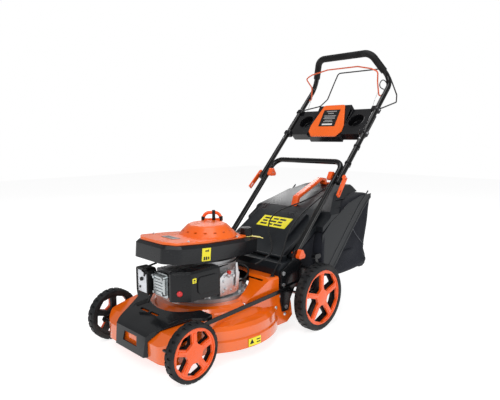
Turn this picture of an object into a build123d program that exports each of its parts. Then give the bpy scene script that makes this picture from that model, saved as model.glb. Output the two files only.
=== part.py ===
from build123d import *
import os
from math import cos, sin, radians, sqrt

# Walk-behind rotary lawn mower. The front faces -Y, the handle and bag are at +Y, +X is the
# operator's left, +Z is up. The origin is on the ground under the centre of the machine. Millimetres.

os.makedirs("parts", exist_ok=True)

# ---------------------------------------------------------------- driving dimensions
OVERALL_LENGTH = 1304.0      # front of the tyres to the back of the drive bail
WHEELBASE = 570.0
FRONT_WHEEL_D = 178.0
REAR_WHEEL_D = 245.0
FRONT_TRACK = 476.0          # over the outer faces of the front wheels
REAR_TRACK = 532.0
FRONT_WHEEL_W = 32.0
REAR_WHEEL_W = 40.0
CUT_RADIUS = 230.0           # blade tip radius: 460 mm cut
TIP_GAP = 15.0               # blade tip to the housing wall
SHEET = 2.5                  # pressed steel of the housing
SKIRT_Z = 42.0               # lowest edge of the housing
DECK_TOP = 165.0             # flat that carries the engine
CRANK_BACK = 250.0           # crankshaft behind the front axle
CRANK_R = 12.5
SHAFT_FIT = 0.05             # radial running clearance of shafts in bearings
PIN_FIT = 0.1                # radial clearance of pins and bolts in holes
BODY_GAP = 0.5               # air between flat faces of pieces that move past each other
BASE_R = 140.0               # engine base flange
AXLE_ARM = 47.0              # axle pivot to wheel centre
LINK_ARM = 30.0              # axle pivot to link pin
AXLE_ROD_R = 6.0
STUB_R = 6.0
HALF_BODY = 190.0            # half width of the rear housing walls
NOSE_HALF = 185.0
NOSE_REACH = 59.0            # nose in front of the front axle
PLATE = 4.0                  # bracket plate
TUBE_R = 11.0                # handle tube, 22 mm outside
TUBE_WALL = 1.5
HANDLE_RAKE = 47.0           # handle above the horizontal
LOWER_LENGTH = 362.0         # lower knob to cam joint
UPPER_LENGTH = 540.0         # cam joint to the bend below the grip
GRIP_R = 15.0
BAIL_R = 3.0
BOLT_R = 4.0
FLAP_HALF = 155.0
BAG_HALF = 200.0

# ---------------------------------------------------------------- derived places
FRONT_Y = FRONT_WHEEL_D / 2 - OVERALL_LENGTH / 2      # front wheel centres
REAR_Y = FRONT_Y + WHEELBASE
FRONT_Z = FRONT_WHEEL_D / 2
REAR_Z = REAR_WHEEL_D / 2
CRANK_Y = FRONT_Y + CRANK_BACK
HOUSING_R = CUT_RADIUS + TIP_GAP + SHEET
FRONT_PIVOT_Y = FRONT_Y - AXLE_ARM
REAR_PIVOT_Y = REAR_Y + AXLE_ARM
NOSE_Y = FRONT_Y - NOSE_REACH
REAR_TOP_Y = CRANK_Y + 163.0                          # end of the raised rear top
REAR_TOP_Z = DECK_TOP + 55.0
BRACKET_X = HALF_BODY + 2.0                           # inner face of the bracket plates
KNOB_Y = REAR_Y - 57.0                                # lower knob and its bolt
KNOB_Z = 282.0
C = cos(radians(HANDLE_RAKE))
S = sin(radians(HANDLE_RAKE))
JOINT_Y = KNOB_Y + LOWER_LENGTH * C
JOINT_Z = KNOB_Z + LOWER_LENGTH * S
LOWER_X = BRACKET_X - TUBE_R - BODY_GAP               # lower tube centre lines
UPPER_X = LOWER_X + 2 * TUBE_R + 1.0                  # upper tubes lie outside the lower ones
BAG_NECK_HALF = LOWER_X - TUBE_R - 3.5                # the bag's neck passes between the lower tubes
BEND_Y = JOINT_Y + UPPER_LENGTH * C
BEND_Z = JOINT_Z + UPPER_LENGTH * S


def keep(builder, name):
    """Label a finished piece and write it."""
    builder.part.label = name
    export_step(builder.part, f"parts/{name}.step")


def along(distance, front=0.0):
    """(y, z) at a distance up the handle from the cam joint, and in front of its plane."""
    return JOINT_Y + distance * C - front * S, JOINT_Z + distance * S + front * C


def side_plane(x=0.0):
    """Plane whose sketch coordinates are (y, z)."""
    return Plane(origin=(x, 0, 0), x_dir=(0, 1, 0), z_dir=(1, 0, 0))


def x_rod(y, z, radius, x_low, x_high, mode=Mode.ADD):
    """A round bar or hole along X in the part being built."""
    with BuildSketch(side_plane(x_low)) as section:
        with Locations((y, z)):
            Circle(radius)
    extrude(section.sketch, amount=x_high - x_low, mode=mode)


def z_rod(x, y, radius, z_low, z_high, mode=Mode.ADD):
    """A round bar or hole along Z in the part being built."""
    with BuildSketch(Plane.XY.offset(z_low)) as section:
        with Locations((x, y)):
            Circle(radius)
    extrude(section.sketch, amount=z_high - z_low, mode=mode)


def side_slab(points, x_low, x_high, mode=Mode.ADD):
    """A slab with a (y, z) outline between two x planes in the part being built."""
    with BuildSketch(side_plane(x_low)) as outline:
        Polygon(*points, align=None)
    extrude(outline.sketch, amount=x_high - x_low, mode=mode)


def bent_tube(points, radii, radius, bore=0.0):
    """A round rod or tube swept along straight runs joined by arcs."""
    with BuildPart() as tube:
        with BuildLine() as path:
            FilletPolyline(*points, radius=radii)
        with BuildSketch(Plane(origin=path.line @ 0, z_dir=path.line % 0)):
            Circle(radius)
            if bore:
                Circle(bore, mode=Mode.SUBTRACT)
        sweep(path=path.line)
    return tube.part


def mirrored(points):
    """A list of points on the +X side, followed by its mirror image in reverse order."""
    return points + [(-x, y, z) for x, y, z in reversed(points)]


# ================================================================ housing
# bracket bolts, two through the discharge housing and one through the deck wall
BOLT_PLACES = [(REAR_Y - 140, 228), (REAR_Y - 140, 186), (REAR_Y - 125, 104)]


def deck_form(inset):
    """The housing as a block: nose, round blade chamber with its dome, raised rear body."""
    floor = SKIRT_Z if inset == 0 else SKIRT_Z - 5
    with BuildPart() as form:
        with BuildSketch(Plane.XY.offset(floor)):
            with Locations((0, (NOSE_Y + CRANK_Y) / 2 + inset / 2)):
                Rectangle(2 * (NOSE_HALF - inset), CRANK_Y - NOSE_Y - inset)
        extrude(amount=DECK_TOP - 15 - inset - floor)
        fillet(form.edges().filter_by(Axis.Z).group_by(Axis.Y)[0], radius=60 - inset)
        side_slab(
            [
                (NOSE_Y - 5, 90 - inset),
                (NOSE_Y + 32, 125 - inset),
                (CRANK_Y - 167, 150 - inset),
                (CRANK_Y - 167, 300),
                (NOSE_Y - 5, 300),
            ],
            -300,
            300,
            Mode.SUBTRACT,
        )
        r = HOUSING_R - inset
        with BuildSketch(Plane(origin=(0, CRANK_Y, 0), x_dir=(1, 0, 0), z_dir=(0, -1, 0))):
            Polygon(
                (0, floor),
                (r, floor),
                (r, 74),
                (r - 5, 79),
                (r - 5, 108 - inset),
                (r - 15, 119 - inset),
                (r - 40, 126 - inset),
                (r - 56, 146 - inset),
                (r - 66, 160 - inset),
                (r - 80, DECK_TOP - inset),
                (0, DECK_TOP - inset),
                align=None,
            )
        revolve(axis=Axis((0, CRANK_Y, 0), (0, 0, 1)))
        with BuildSketch(side_plane(inset - HALF_BODY)):
            Polygon(
                (CRANK_Y, floor),
                (CRANK_Y, DECK_TOP - inset),
                (REAR_TOP_Y - 40, REAR_TOP_Z - inset),
                (REAR_TOP_Y - inset, REAR_TOP_Z - inset),
                (REAR_TOP_Y - inset, DECK_TOP + 3 - inset),
                (REAR_Y - 92 - inset, 118 - inset),
                (REAR_Y - 82 - inset, 62),
                (REAR_Y - 110, floor),
                align=None,
            )
        extrude(amount=2 * (HALF_BODY - inset))
        if inset == 0:
            rims = form.edges().filter_by(Axis.Y).group_by(Axis.Z)[-1]
            fillet(rims, radius=8)
        # flat seat for the engine base, sunk into the rising rear top
        z_rod(0, CRANK_Y, BASE_R + 6 + inset, DECK_TOP - inset, 300, Mode.SUBTRACT)
    return form.part


deck_block = deck_form(0)
deck_hollow = deck_form(SHEET)

with BuildPart() as deck:
    add(deck_block)
    add(deck_hollow, mode=Mode.SUBTRACT)
    z_rod(0, CRANK_Y, CRANK_R + 12, 100, 200, Mode.SUBTRACT)
    with BuildSketch(Plane.XY.offset(DECK_TOP - 10)):
        with Locations((0, CRANK_Y)):
            with PolarLocations(125, 4, start_angle=45):
                Circle(BOLT_R + PIN_FIT)
    extrude(amount=20, mode=Mode.SUBTRACT)
    # discharge opening through the rear walls
    with BuildSketch(Plane(origin=(0, REAR_TOP_Y - 60, 0), x_dir=(1, 0, 0), z_dir=(0, -1, 0))):
        with Locations((0, 145)):
            Rectangle(2 * (HALF_BODY - 24), 138)
    extrude(amount=-140, mode=Mode.SUBTRACT)
    # holes for the front axle rod and for the bracket bolts
    x_rod(FRONT_PIVOT_Y, FRONT_Z, AXLE_ROD_R + PIN_FIT, -300, 300, Mode.SUBTRACT)
    for y, z in BOLT_PLACES:
        x_rod(y, z, BOLT_R + PIN_FIT, -250, 250, Mode.SUBTRACT)
keep(deck, "deck")

# moulded nose cover over the front of the housing
COVER_WALL = 3.0
COVER_Y = NOSE_Y - 14.0


def cover_form(inset):
    """Nose cover as a block; the rear edge follows the dome."""
    with BuildPart() as form:
        side_slab(
            [
                (COVER_Y + inset, 48 - inset * 2),
                (COVER_Y + 8 + inset, 112 - inset / 2),
                (COVER_Y + 20 + inset, 122 - inset),
                (CRANK_Y - 150, 168 - inset),
                (CRANK_Y - 150, 48 - inset * 2),
            ],
            -210,
            210,
        )
        with BuildSketch(Plane.XY.offset(20)) as plan:
            with BuildLine():
                Polyline(
                    (0, COVER_Y - 1 + inset),
                    (78 - inset, COVER_Y - 1 + inset),
                    (104 - inset, COVER_Y + 40),
                    (122 - inset, COVER_Y + 78),
                    (150 - inset, CRANK_Y - 192),
                    (196 - inset, CRANK_Y - 168),
                    (196 - inset, CRANK_Y - 150),
                    (0, CRANK_Y - 150),
                    close=True,
                )
            make_face()
            mirror(about=Plane.YZ)
            with Locations((0, CRANK_Y)):
                Circle(HOUSING_R - 43, mode=Mode.SUBTRACT)
        extrude(amount=200, mode=Mode.INTERSECT)
    return form.part


cover_block = cover_form(0)
cover_hollow = cover_form(COVER_WALL)

with BuildPart() as front_cover:
    add(cover_block)
    add(cover_hollow, mode=Mode.SUBTRACT)
    side_slab(
        [
            (NOSE_Y - 1.5, 20),
            (NOSE_Y - 1.5, 97),
            (NOSE_Y + 32, 127.5),
            (CRANK_Y - 167, 152.5),
            (CRANK_Y - 120, 152.5),
            (CRANK_Y - 120, 20),
        ],
        -250,
        250,
        Mode.SUBTRACT,
    )
    # window over the orange nose
    with BuildSketch(Plane(origin=(0, COVER_Y - 5, 0), x_dir=(1, 0, 0), z_dir=(0, -1, 0))):
        with Locations((0, 86)):
            Trapezoid(78, 30, 80)
    extrude(amount=-20, mode=Mode.SUBTRACT)
    # two vent slots near the rear edge
    with BuildSketch(Plane.XY.offset(120)):
        with Locations((-46, CRANK_Y - 232), (8, CRANK_Y - 232)):
            SlotOverall(46, 9)
    extrude(amount=60, mode=Mode.SUBTRACT)
keep(front_cover, "front_cover")

# ---------------------------------------------------------------- handle brackets, both sides
PIVOT_EYE_R = 18.0

with BuildPart() as handle_brackets:
    outline = [
        (REAR_Y - 142, 88),
        (REAR_Y - 152, 128),
        (REAR_Y - 152, 236),
        (KNOB_Y - 40, 262),
        (KNOB_Y - 22, KNOB_Z + 16),
        (KNOB_Y + 16, KNOB_Z + 20),
        (KNOB_Y + 20, 240),
        (REAR_PIVOT_Y + 8, 196),
        (REAR_PIVOT_Y + PIVOT_EYE_R, REAR_Z),
        (REAR_PIVOT_Y, REAR_Z - PIVOT_EYE_R),
        (REAR_PIVOT_Y - 22, REAR_Z - 4),
        (REAR_PIVOT_Y - 34, 178),
        (REAR_Y - 70, 176),
        (REAR_Y - 100, 128),
        (REAR_Y - 110, 88),
    ]
    for x_low in (BRACKET_X, -BRACKET_X - PLATE):
        side_slab(outline, x_low, x_low + PLATE)
    x_rod(KNOB_Y, KNOB_Z, BOLT_R + PIN_FIT, -250, 250, Mode.SUBTRACT)
    x_rod(REAR_PIVOT_Y, REAR_Z, AXLE_ROD_R + 1 + PIN_FIT, -250, 250, Mode.SUBTRACT)
    for y, z in BOLT_PLACES:
        x_rod(y, z, BOLT_R + PIN_FIT, -250, 250, Mode.SUBTRACT)
keep(handle_brackets, "handle_brackets")

# ---------------------------------------------------------------- rear discharge housing
CHUTE_FRONT = REAR_TOP_Y + 1.0
CHUTE_BACK = REAR_Y - 66.0
CHUTE_TOP = 262.0
CHUTE_FLOOR = 192.0
FLAP_Y = REAR_Y - 100.0
FLAP_Z = 270.0

with BuildPart() as rear_chute:
    side_slab(
        [
            (CHUTE_FRONT, DECK_TOP + 6),
            (CHUTE_FRONT, CHUTE_TOP - 20),
            (CHUTE_FRONT + 14, CHUTE_TOP - 2),
            (CHUTE_BACK, CHUTE_TOP - 2),
            (CHUTE_BACK, CHUTE_FLOOR - 8),
            (CHUTE_FRONT + 12, DECK_TOP + 6),
        ],
        1 - HALF_BODY,
        HALF_BODY - 1,
    )
    # passage from the opening in the deck up to the bag
    side_slab(
        [
            (CHUTE_FRONT - 5, DECK_TOP + 11),
            (CHUTE_FRONT - 5, DECK_TOP + 49),
            (CHUTE_FRONT + 2, DECK_TOP + 49),
            (CHUTE_FRONT + 22, CHUTE_TOP - 10),
            (CHUTE_BACK + 5, CHUTE_TOP - 8),
            (CHUTE_BACK + 5, CHUTE_FLOOR),
            (CHUTE_FRONT + 14, DECK_TOP + 11),
        ],
        32 - HALF_BODY,
        HALF_BODY - 32,
        Mode.SUBTRACT,
    )
    for y, z in BOLT_PLACES:
        x_rod(y, z, BOLT_R + PIN_FIT, -250, 250, Mode.SUBTRACT)
    # ears for the flap hinge rod
    for x_low in (FLAP_HALF + 2, -FLAP_HALF - 14):
        side_slab(
            [
                (FLAP_Y - 14, CHUTE_TOP - 6),
                (FLAP_Y - 8, FLAP_Z + 8),
                (FLAP_Y + 8, FLAP_Z + 8),
                (FLAP_Y + 14, CHUTE_TOP - 6),
            ],
            x_low,
            x_low + 12,
        )
    x_rod(FLAP_Y, FLAP_Z, 3 + PIN_FIT, -250, 250, Mode.SUBTRACT)
keep(rear_chute, "rear_chute")

# ---------------------------------------------------------------- bolts of the housing
with BuildPart() as deck_bolts:
    for side in (1, -1):
        for y, z in BOLT_PLACES:
            inner = side * (HALF_BODY - 12)
            face = side * (BRACKET_X + PLATE)
            head = face + side * 4.0
            x_rod(y, z, BOLT_R, min(inner, face), max(inner, face))
            x_rod(y, z, 7, min(face, head), max(face, head))
    for corner in range(4):
        angle = radians(45 + 90 * corner)
        x = 125 * cos(angle)
        y = CRANK_Y + 125 * sin(angle)
        z_rod(x, y, BOLT_R, DECK_TOP - SHEET - 6, DECK_TOP + 12)
        z_rod(x, y, 7, DECK_TOP + 12, DECK_TOP + 18)
keep(deck_bolts, "deck_bolts")

# ================================================================ engine
HEAD_X = 32.0                # centre line of the cylinder, beside the crankshaft
CASE_R = 100.0
CASE_TOP = 292.0
BASE_T = 12.0
SHROUD_TILT = 4.5            # the blower housing falls to the rear
SHROUD_MID = 329.0           # middle of the blower housing over the crankshaft
SHROUD_H = 56.0
TANK_X = 54.0                # filler neck
TANK_Y = REAR_Y - 183.0
NECK_R = 15.0
CAP_R = 22.0


def shroud_plane(height=0.0):
    """Plane through the blower housing, parallel to its top, x across and y to the rear."""
    t = radians(SHROUD_TILT)
    return Plane(origin=(0, CRANK_Y, SHROUD_MID + height), x_dir=(1, 0, 0), z_dir=(0, sin(t), cos(t)))


with BuildPart() as engine_block:
    z_rod(0, CRANK_Y, BASE_R, DECK_TOP, DECK_TOP + BASE_T)
    z_rod(0, CRANK_Y, CASE_R, DECK_TOP + BASE_T, CASE_TOP)
    # cylinder barrel with cooling fins
    with BuildSketch(Plane(origin=(0, CRANK_Y - 90, 0), x_dir=(1, 0, 0), z_dir=(0, -1, 0))):
        with Locations((HEAD_X, 246)):
            RectangleRounded(76, 66, 12)
    extrude(amount=124)
    for fin in range(8):
        fin_plane = Plane(origin=(0, CRANK_Y - 112 - 12 * fin, 0), x_dir=(1, 0, 0), z_dir=(0, -1, 0))
        with BuildSketch(fin_plane):
            with Locations((HEAD_X - 6, 246)):
                RectangleRounded(88, 80, 8)
        extrude(amount=4)
    # hollow crankcase, main bearings and bolt holes
    z_rod(0, CRANK_Y, CASE_R - 14, DECK_TOP + 30, CASE_TOP - 16, Mode.SUBTRACT)
    z_rod(0, CRANK_Y, CRANK_R + SHAFT_FIT, DECK_TOP - 5, CASE_TOP + 5, Mode.SUBTRACT)
    with BuildSketch(Plane.XY.offset(DECK_TOP - 1)):
        with Locations((0, CRANK_Y)):
            with PolarLocations(125, 4, start_angle=45):
                Circle(BOLT_R + PIN_FIT)
    extrude(amount=BASE_T + 2, mode=Mode.SUBTRACT)
keep(engine_block, "engine_block")

HEAD_Y = CRANK_Y - 214.5     # joint between barrel and rocker cover
with BuildPart() as cylinder_head:
    with BuildSketch(Plane(origin=(0, HEAD_Y, 0), x_dir=(1, 0, 0), z_dir=(0, -1, 0))):
        with Locations((HEAD_X + 12, 246)):
            RectangleRounded(72, 76, 8)
    extrude(amount=14)
    with BuildSketch(Plane(origin=(0, HEAD_Y - 14, 0), x_dir=(1, 0, 0), z_dir=(0, -1, 0))):
        with Locations((HEAD_X + 12, 246)):
            RectangleRounded(60, 64, 10)
    extrude(amount=10)
    chamfer(cylinder_head.faces().sort_by(Axis.Y)[0].edges(), length=4)
    front_head = Plane(origin=(HEAD_X + 12, HEAD_Y - 24, 246), x_dir=(1, 0, 0), z_dir=(0, -1, 0))
    with BuildSketch(front_head):
        with GridLocations(44, 48, 2, 2):
            RegularPolygon(5, 6)
    extrude(amount=4)
keep(cylinder_head, "cylinder_head")


def shroud_outline(inset):
    """Plan outline of the blower housing on its own plane: broad in front, narrow at the tank."""
    Polygon(
        (-74 + inset, -246 + inset),
        (74 - inset, -246 + inset),
        (116 - inset, -206),
        (124 - inset, -90),
        (98 - inset, 90),
        (62 - inset, 192 - inset),
        (-62 + inset, 192 - inset),
        (-98 + inset, 90),
        (-124 + inset, -90),
        (-116 + inset, -206),
        align=None,
    )


SHROUD_WALL = 3.0
with BuildPart() as blower_housing:
    with BuildSketch(shroud_plane(-SHROUD_H / 2)) as shell_plan:
        shroud_outline(0)
        fillet(shell_plan.vertices(), radius=24)
    extrude(amount=SHROUD_H)
    chamfer(blower_housing.faces().sort_by(Axis.Z)[-1].edges(), length=9)
    with BuildSketch(shroud_plane(-SHROUD_H / 2 - 1)) as hollow_plan:
        shroud_outline(SHROUD_WALL)
        fillet(hollow_plan.vertices(), radius=21)
    extrude(amount=SHROUD_H + 1 - 12, mode=Mode.SUBTRACT)
    # air opening under the top cover
    z_rod(0, CRANK_Y, 78, 300, 420, Mode.SUBTRACT)
    # passage for the tank neck
    z_rod(TANK_X, TANK_Y, NECK_R + 4, 300, 420, Mode.SUBTRACT)
keep(blower_housing, "blower_housing")

TOP_WALL = 2.5
with BuildPart() as top_cover:
    with BuildSketch(shroud_plane(SHROUD_H / 2 + 0.3)) as cover_plan:
        shroud_outline(14)
        fillet(cover_plan.vertices(), radius=18)
        with Locations((0, 236)):
            Rectangle(300, 220, mode=Mode.SUBTRACT)
        with Locations((TANK_X, TANK_Y - CRANK_Y)):
            Circle(CAP_R + 5, mode=Mode.SUBTRACT)
    extrude(amount=9)
    chamfer(top_cover.faces().sort_by(Axis.Z)[-1].edges(), length=2)
    with BuildSketch(shroud_plane(SHROUD_H / 2 + 0.2)) as cover_inner:
        with Locations((0, -20)):
            RectangleRounded(150, 240, 40)
    extrude(amount=9.1 - TOP_WALL, mode=Mode.SUBTRACT)
    dome_axis = Axis((0, CRANK_Y, 0), (0, 0, 1))
    dome_plane = Plane(origin=(0, CRANK_Y, 0), x_dir=(1, 0, 0), z_dir=(0, -1, 0))
    with BuildSketch(dome_plane):
        Polygon((0, 366), (104, 366), (98, 374), (70, 402), (62, 406), (0, 406), align=None)
    revolve(axis=dome_axis)
    with BuildSketch(dome_plane):
        Polygon(
            (0, 340),
            (74, 340),
            (94, 366),
            (94, 372),
            (68, 399),
            (60, 406 - TOP_WALL),
            (0, 406 - TOP_WALL),
            align=None,
        )
    revolve(axis=dome_axis, mode=Mode.SUBTRACT)
    # cooling slots round the dome, and the rope eye
    for slot in range(16):
        angle = 360 / 16 * slot
        x = 85 * cos(radians(angle))
        y = 85 * sin(radians(angle))
        turn = radians(angle)
        slot_plane = Plane(origin=(x, CRANK_Y + y, 375), x_dir=(-sin(turn), cos(turn), 0))
        with BuildSketch(slot_plane):
            SlotOverall(11, 5)
        extrude(amount=40, mode=Mode.SUBTRACT)
keep(top_cover, "top_cover")

# ---------------------------------------------------------------- exhaust
MUFFLER_X = -24.0
with BuildPart() as muffler:
    with BuildSketch(Plane(origin=(0, CRANK_Y - 224, 0), x_dir=(1, 0, 0), z_dir=(0, -1, 0))):
        with Locations((MUFFLER_X - 4, 248)):
            RectangleRounded(52, 64, 10)
    extrude(amount=18)
    x_rod(CRANK_Y - 232, 262, 9, -60, -40)
keep(muffler, "muffler")

GUARD_WALL = 2.0
with BuildPart() as muffler_guard:
    guard_plane = Plane(origin=(0, CRANK_Y - 216, 0), x_dir=(1, 0, 0), z_dir=(0, -1, 0))
    with BuildSketch(guard_plane):
        with Locations((MUFFLER_X - 6, 248)):
            RectangleRounded(66, 86, 10)
    extrude(amount=34)
    with BuildSketch(guard_plane.offset(-1)):
        with Locations((MUFFLER_X - 6, 248)):
            RectangleRounded(66 - 2 * GUARD_WALL, 86 - 2 * GUARD_WALL, 8)
    extrude(amount=35 - GUARD_WALL, mode=Mode.SUBTRACT)
    # louvres on the outer side
    with BuildSketch(side_plane(-120)):
        with Locations((CRANK_Y - 236, 248)):
            with GridLocations(1, 11, 1, 7):
                SlotOverall(18, 5)
    extrude(amount=80, mode=Mode.SUBTRACT)
    with BuildSketch(guard_plane.offset(20)):
        with Locations((MUFFLER_X - 30, 248)):
            with GridLocations(1, 11, 1, 7):
                SlotOverall(10, 5)
    extrude(amount=30, mode=Mode.SUBTRACT)
keep(muffler_guard, "muffler_guard")

# ---------------------------------------------------------------- air filter and carburettor
BOX_X = 92.0
BOX_OUT = 150.0
BOX_Z = 206.0
BOX_H = 92.0
BOX_FRONT = CRANK_Y - 236.0
BOX_BACK = CRANK_Y - 72.0
BULB_R = 9.0


def box_outline(inset):
    """Plan of the air filter box, with the outer front corner cut at 45 degrees."""
    Polygon(
        (BOX_X + inset, BOX_FRONT + inset),
        (BOX_X + 16, BOX_FRONT + inset),
        (BOX_OUT - inset, BOX_FRONT + 43),
        (BOX_OUT - inset, BOX_BACK - inset),
        (BOX_X + 16, BOX_BACK - inset),
        (BOX_X + inset, BOX_BACK - 20),
        align=None,
    )


with BuildPart() as airbox_cover:
    with BuildSketch(Plane.XY.offset(BOX_Z)) as plan:
        box_outline(0)
        fillet(plan.vertices(), radius=7)
    extrude(amount=BOX_H)
    chamfer(airbox_cover.faces().sort_by(Axis.Z)[-1].edges(), length=6)
    with BuildSketch(Plane.XY.offset(BOX_Z + 3)) as plan_inner:
        box_outline(3)
        fillet(plan_inner.vertices(), radius=4)
    extrude(amount=BOX_H - 9, mode=Mode.SUBTRACT)
    # raised panel on the outer face
    with BuildSketch(side_plane(BOX_OUT - 1)):
        with Locations((CRANK_Y - 126, BOX_Z + 44)):
            RectangleRounded(84, 54, 16)
    extrude(amount=5)
    # seat of the primer bulb on the cut corner
    bulb_plane = Plane(
        origin=(BOX_X + 33, BOX_FRONT + 19, BOX_Z + 26), x_dir=(0.707, 0.707, 0), z_dir=(0.707, -0.707, 0)
    )
    with BuildSketch(bulb_plane.offset(-12)):
        Circle(BULB_R + 0.4)
    extrude(amount=30, mode=Mode.SUBTRACT)
keep(airbox_cover, "airbox_cover")

with BuildPart() as primer_bulb:
    with BuildSketch(bulb_plane.offset(-4)):
        Circle(BULB_R)
    extrude(amount=10)
    fillet(primer_bulb.edges().filter_by(GeomType.CIRCLE).sort_by(Axis.Y)[0], radius=5)
keep(primer_bulb, "primer_bulb")

with BuildPart() as carburettor:
    x_rod(CRANK_Y - 130, 238, 14, HEAD_X + 38.3, 91.5)
    with BuildSketch(Plane.XY.offset(208)):
        with Locations((81, CRANK_Y - 130)):
            RectangleRounded(20, 44, 5)
    extrude(amount=46)
keep(carburettor, "carburettor")

# ---------------------------------------------------------------- control plate and governor arm
PLATE_X = 124.0
GOV_Y = CRANK_Y + 16.0
GOV_Z = 214.0
with BuildPart() as control_plate:
    side_slab(
        [
            (CRANK_Y - 54, 184),
            (CRANK_Y - 54, 246),
            (CRANK_Y - 30, 262),
            (CRANK_Y + 20, 264),
            (CRANK_Y + 34, 250),
            (CRANK_Y + 28, 190),
            (CRANK_Y + 10, 182),
        ],
        PLATE_X,
        PLATE_X + 2,
    )
    x_rod(GOV_Y, GOV_Z, 3 + PIN_FIT, 100, 160, Mode.SUBTRACT)
    # spacers back to the crankcase
    for y, z in ((CRANK_Y - 30, 206), (CRANK_Y + 4, 244)):
        foot = sqrt(CASE_R**2 - (abs(y - CRANK_Y) - 6) ** 2) + 0.2
        x_rod(y, z, 6, foot, PLATE_X)
        x_rod(y, z, 5, PLATE_X + 2, PLATE_X + 6)
keep(control_plate, "control_plate")

with BuildPart() as governor_arm:
    x_rod(GOV_Y, GOV_Z, 3, PLATE_X - 6, PLATE_X + 9)
    side_slab(
        [
            (GOV_Y - 7, GOV_Z - 9),
            (GOV_Y + 7, GOV_Z - 9),
            (GOV_Y + 8, GOV_Z + 30),
            (GOV_Y + 2, GOV_Z + 74),
            (GOV_Y - 6, GOV_Z + 74),
            (GOV_Y - 4, GOV_Z + 30),
        ],
        PLATE_X + 7,
        PLATE_X + 9,
    )
keep(governor_arm, "governor_arm")

# ---------------------------------------------------------------- tank and cap
with BuildPart() as fuel_tank:
    with BuildSketch(shroud_plane(-20)) as tank_plan:
        Polygon((-88, 104), (88, 104), (56, 184), (-56, 184), align=None)
        fillet(tank_plan.vertices(), radius=10)
    extrude(amount=34)
    z_rod(TANK_X, TANK_Y, NECK_R, 320, 356)
    z_rod(TANK_X, TANK_Y, NECK_R - 4, 326, 362, Mode.SUBTRACT)
keep(fuel_tank, "fuel_tank")

with BuildPart() as fuel_cap:
    z_rod(TANK_X, TANK_Y, CAP_R, 352, 380)
    z_rod(TANK_X, TANK_Y, NECK_R + 0.4, 350, 357, Mode.SUBTRACT)
    chamfer(fuel_cap.faces().sort_by(Axis.Z)[-1].edges(), length=2)
    with BuildSketch(Plane.XY.offset(354)):
        with Locations((TANK_X, TANK_Y)):
            with PolarLocations(CAP_R, 30):
                Rectangle(1.8, 2.0)
    extrude(amount=23, mode=Mode.SUBTRACT)
keep(fuel_cap, "fuel_cap")

# ---------------------------------------------------------------- starter handle
GRIP_X = -50.0
GRIP_Y = CRANK_Y + 66.0
GRIP_Z = 401.0
LOOP_HALF = 32.0
loop_dir = (0.64, 0.77)


def loop_point(offset, height):
    """A point in the upright plane of the starter handle."""
    return (GRIP_X + offset * loop_dir[0], GRIP_Y + offset * loop_dir[1], GRIP_Z + height)


loop = bent_tube(
    [
        loop_point(-LOOP_HALF, 0),
        loop_point(-LOOP_HALF, 30),
        loop_point(LOOP_HALF, 30),
        loop_point(LOOP_HALF, 0),
    ],
    [24, 24],
    6,
)
with BuildPart() as starter_handle:
    add(loop)
    loop_plane = Plane(
        origin=(GRIP_X, GRIP_Y, GRIP_Z),
        x_dir=(loop_dir[0], loop_dir[1], 0),
        z_dir=(loop_dir[1], -loop_dir[0], 0),
    )
    with BuildSketch(loop_plane.offset(-6)):
        with Locations((0, 3)):
            RectangleRounded(2 * LOOP_HALF + 10, 11, 4)
        with Locations((6, 18)):
            Rectangle(9, 30)
    extrude(amount=12)
keep(starter_handle, "starter_handle")

# ---------------------------------------------------------------- crank train
FLYWHEEL_Z = SHROUD_MID - 22.0
PULLEY_Z = 86.0
BLADE_Z = 54.0
BLADE_T = 4.0
with BuildPart() as crankshaft:
    z_rod(0, CRANK_Y, CRANK_R, BLADE_Z + BLADE_T + 8, FLYWHEEL_Z + 34)
    z_rod(0, CRANK_Y, 34, DECK_TOP + 44, DECK_TOP + 56)
    z_rod(0, CRANK_Y, 34, DECK_TOP + 84, DECK_TOP + 96)
keep(crankshaft, "crankshaft")

with BuildPart() as flywheel:
    z_rod(0, CRANK_Y, 84, FLYWHEEL_Z, FLYWHEEL_Z + 12)
    z_rod(0, CRANK_Y, 26, FLYWHEEL_Z + 12, FLYWHEEL_Z + 26)
    for vane in range(12):
        angle = radians(30 * vane)
        vane_plane = Plane(
            origin=(0, CRANK_Y, FLYWHEEL_Z + 12), x_dir=(cos(angle), sin(angle), 0), z_dir=(0, 0, 1)
        )
        with BuildSketch(vane_plane):
            with Locations((60, 0)):
                Rectangle(40, 3)
        extrude(amount=14)
    z_rod(0, CRANK_Y, CRANK_R, FLYWHEEL_Z - 1, FLYWHEEL_Z + 30, Mode.SUBTRACT)
keep(flywheel, "flywheel")

CRANK_PULLEY_R = 24.0
BELT_T = 5.0
with BuildPart() as blade_adapter:
    z_rod(0, CRANK_Y, 30, BLADE_Z + BLADE_T, BLADE_Z + BLADE_T + 8)
    z_rod(0, CRANK_Y, 20, BLADE_Z + BLADE_T + 8, PULLEY_Z + 14)
    z_rod(0, CRANK_Y, CRANK_PULLEY_R + 5, PULLEY_Z - 9, PULLEY_Z - 6)
    z_rod(0, CRANK_Y, CRANK_PULLEY_R + 5, PULLEY_Z + 6, PULLEY_Z + 9)
    z_rod(0, CRANK_Y, CRANK_PULLEY_R - BELT_T / 2, PULLEY_Z - 6, PULLEY_Z + 6)
    z_rod(0, CRANK_Y, CRANK_R, BLADE_Z + BLADE_T + 8, PULLEY_Z + 30, Mode.SUBTRACT)
    z_rod(0, CRANK_Y, 5, BLADE_Z, BLADE_Z + 30, Mode.SUBTRACT)
keep(blade_adapter, "blade_adapter")

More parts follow.
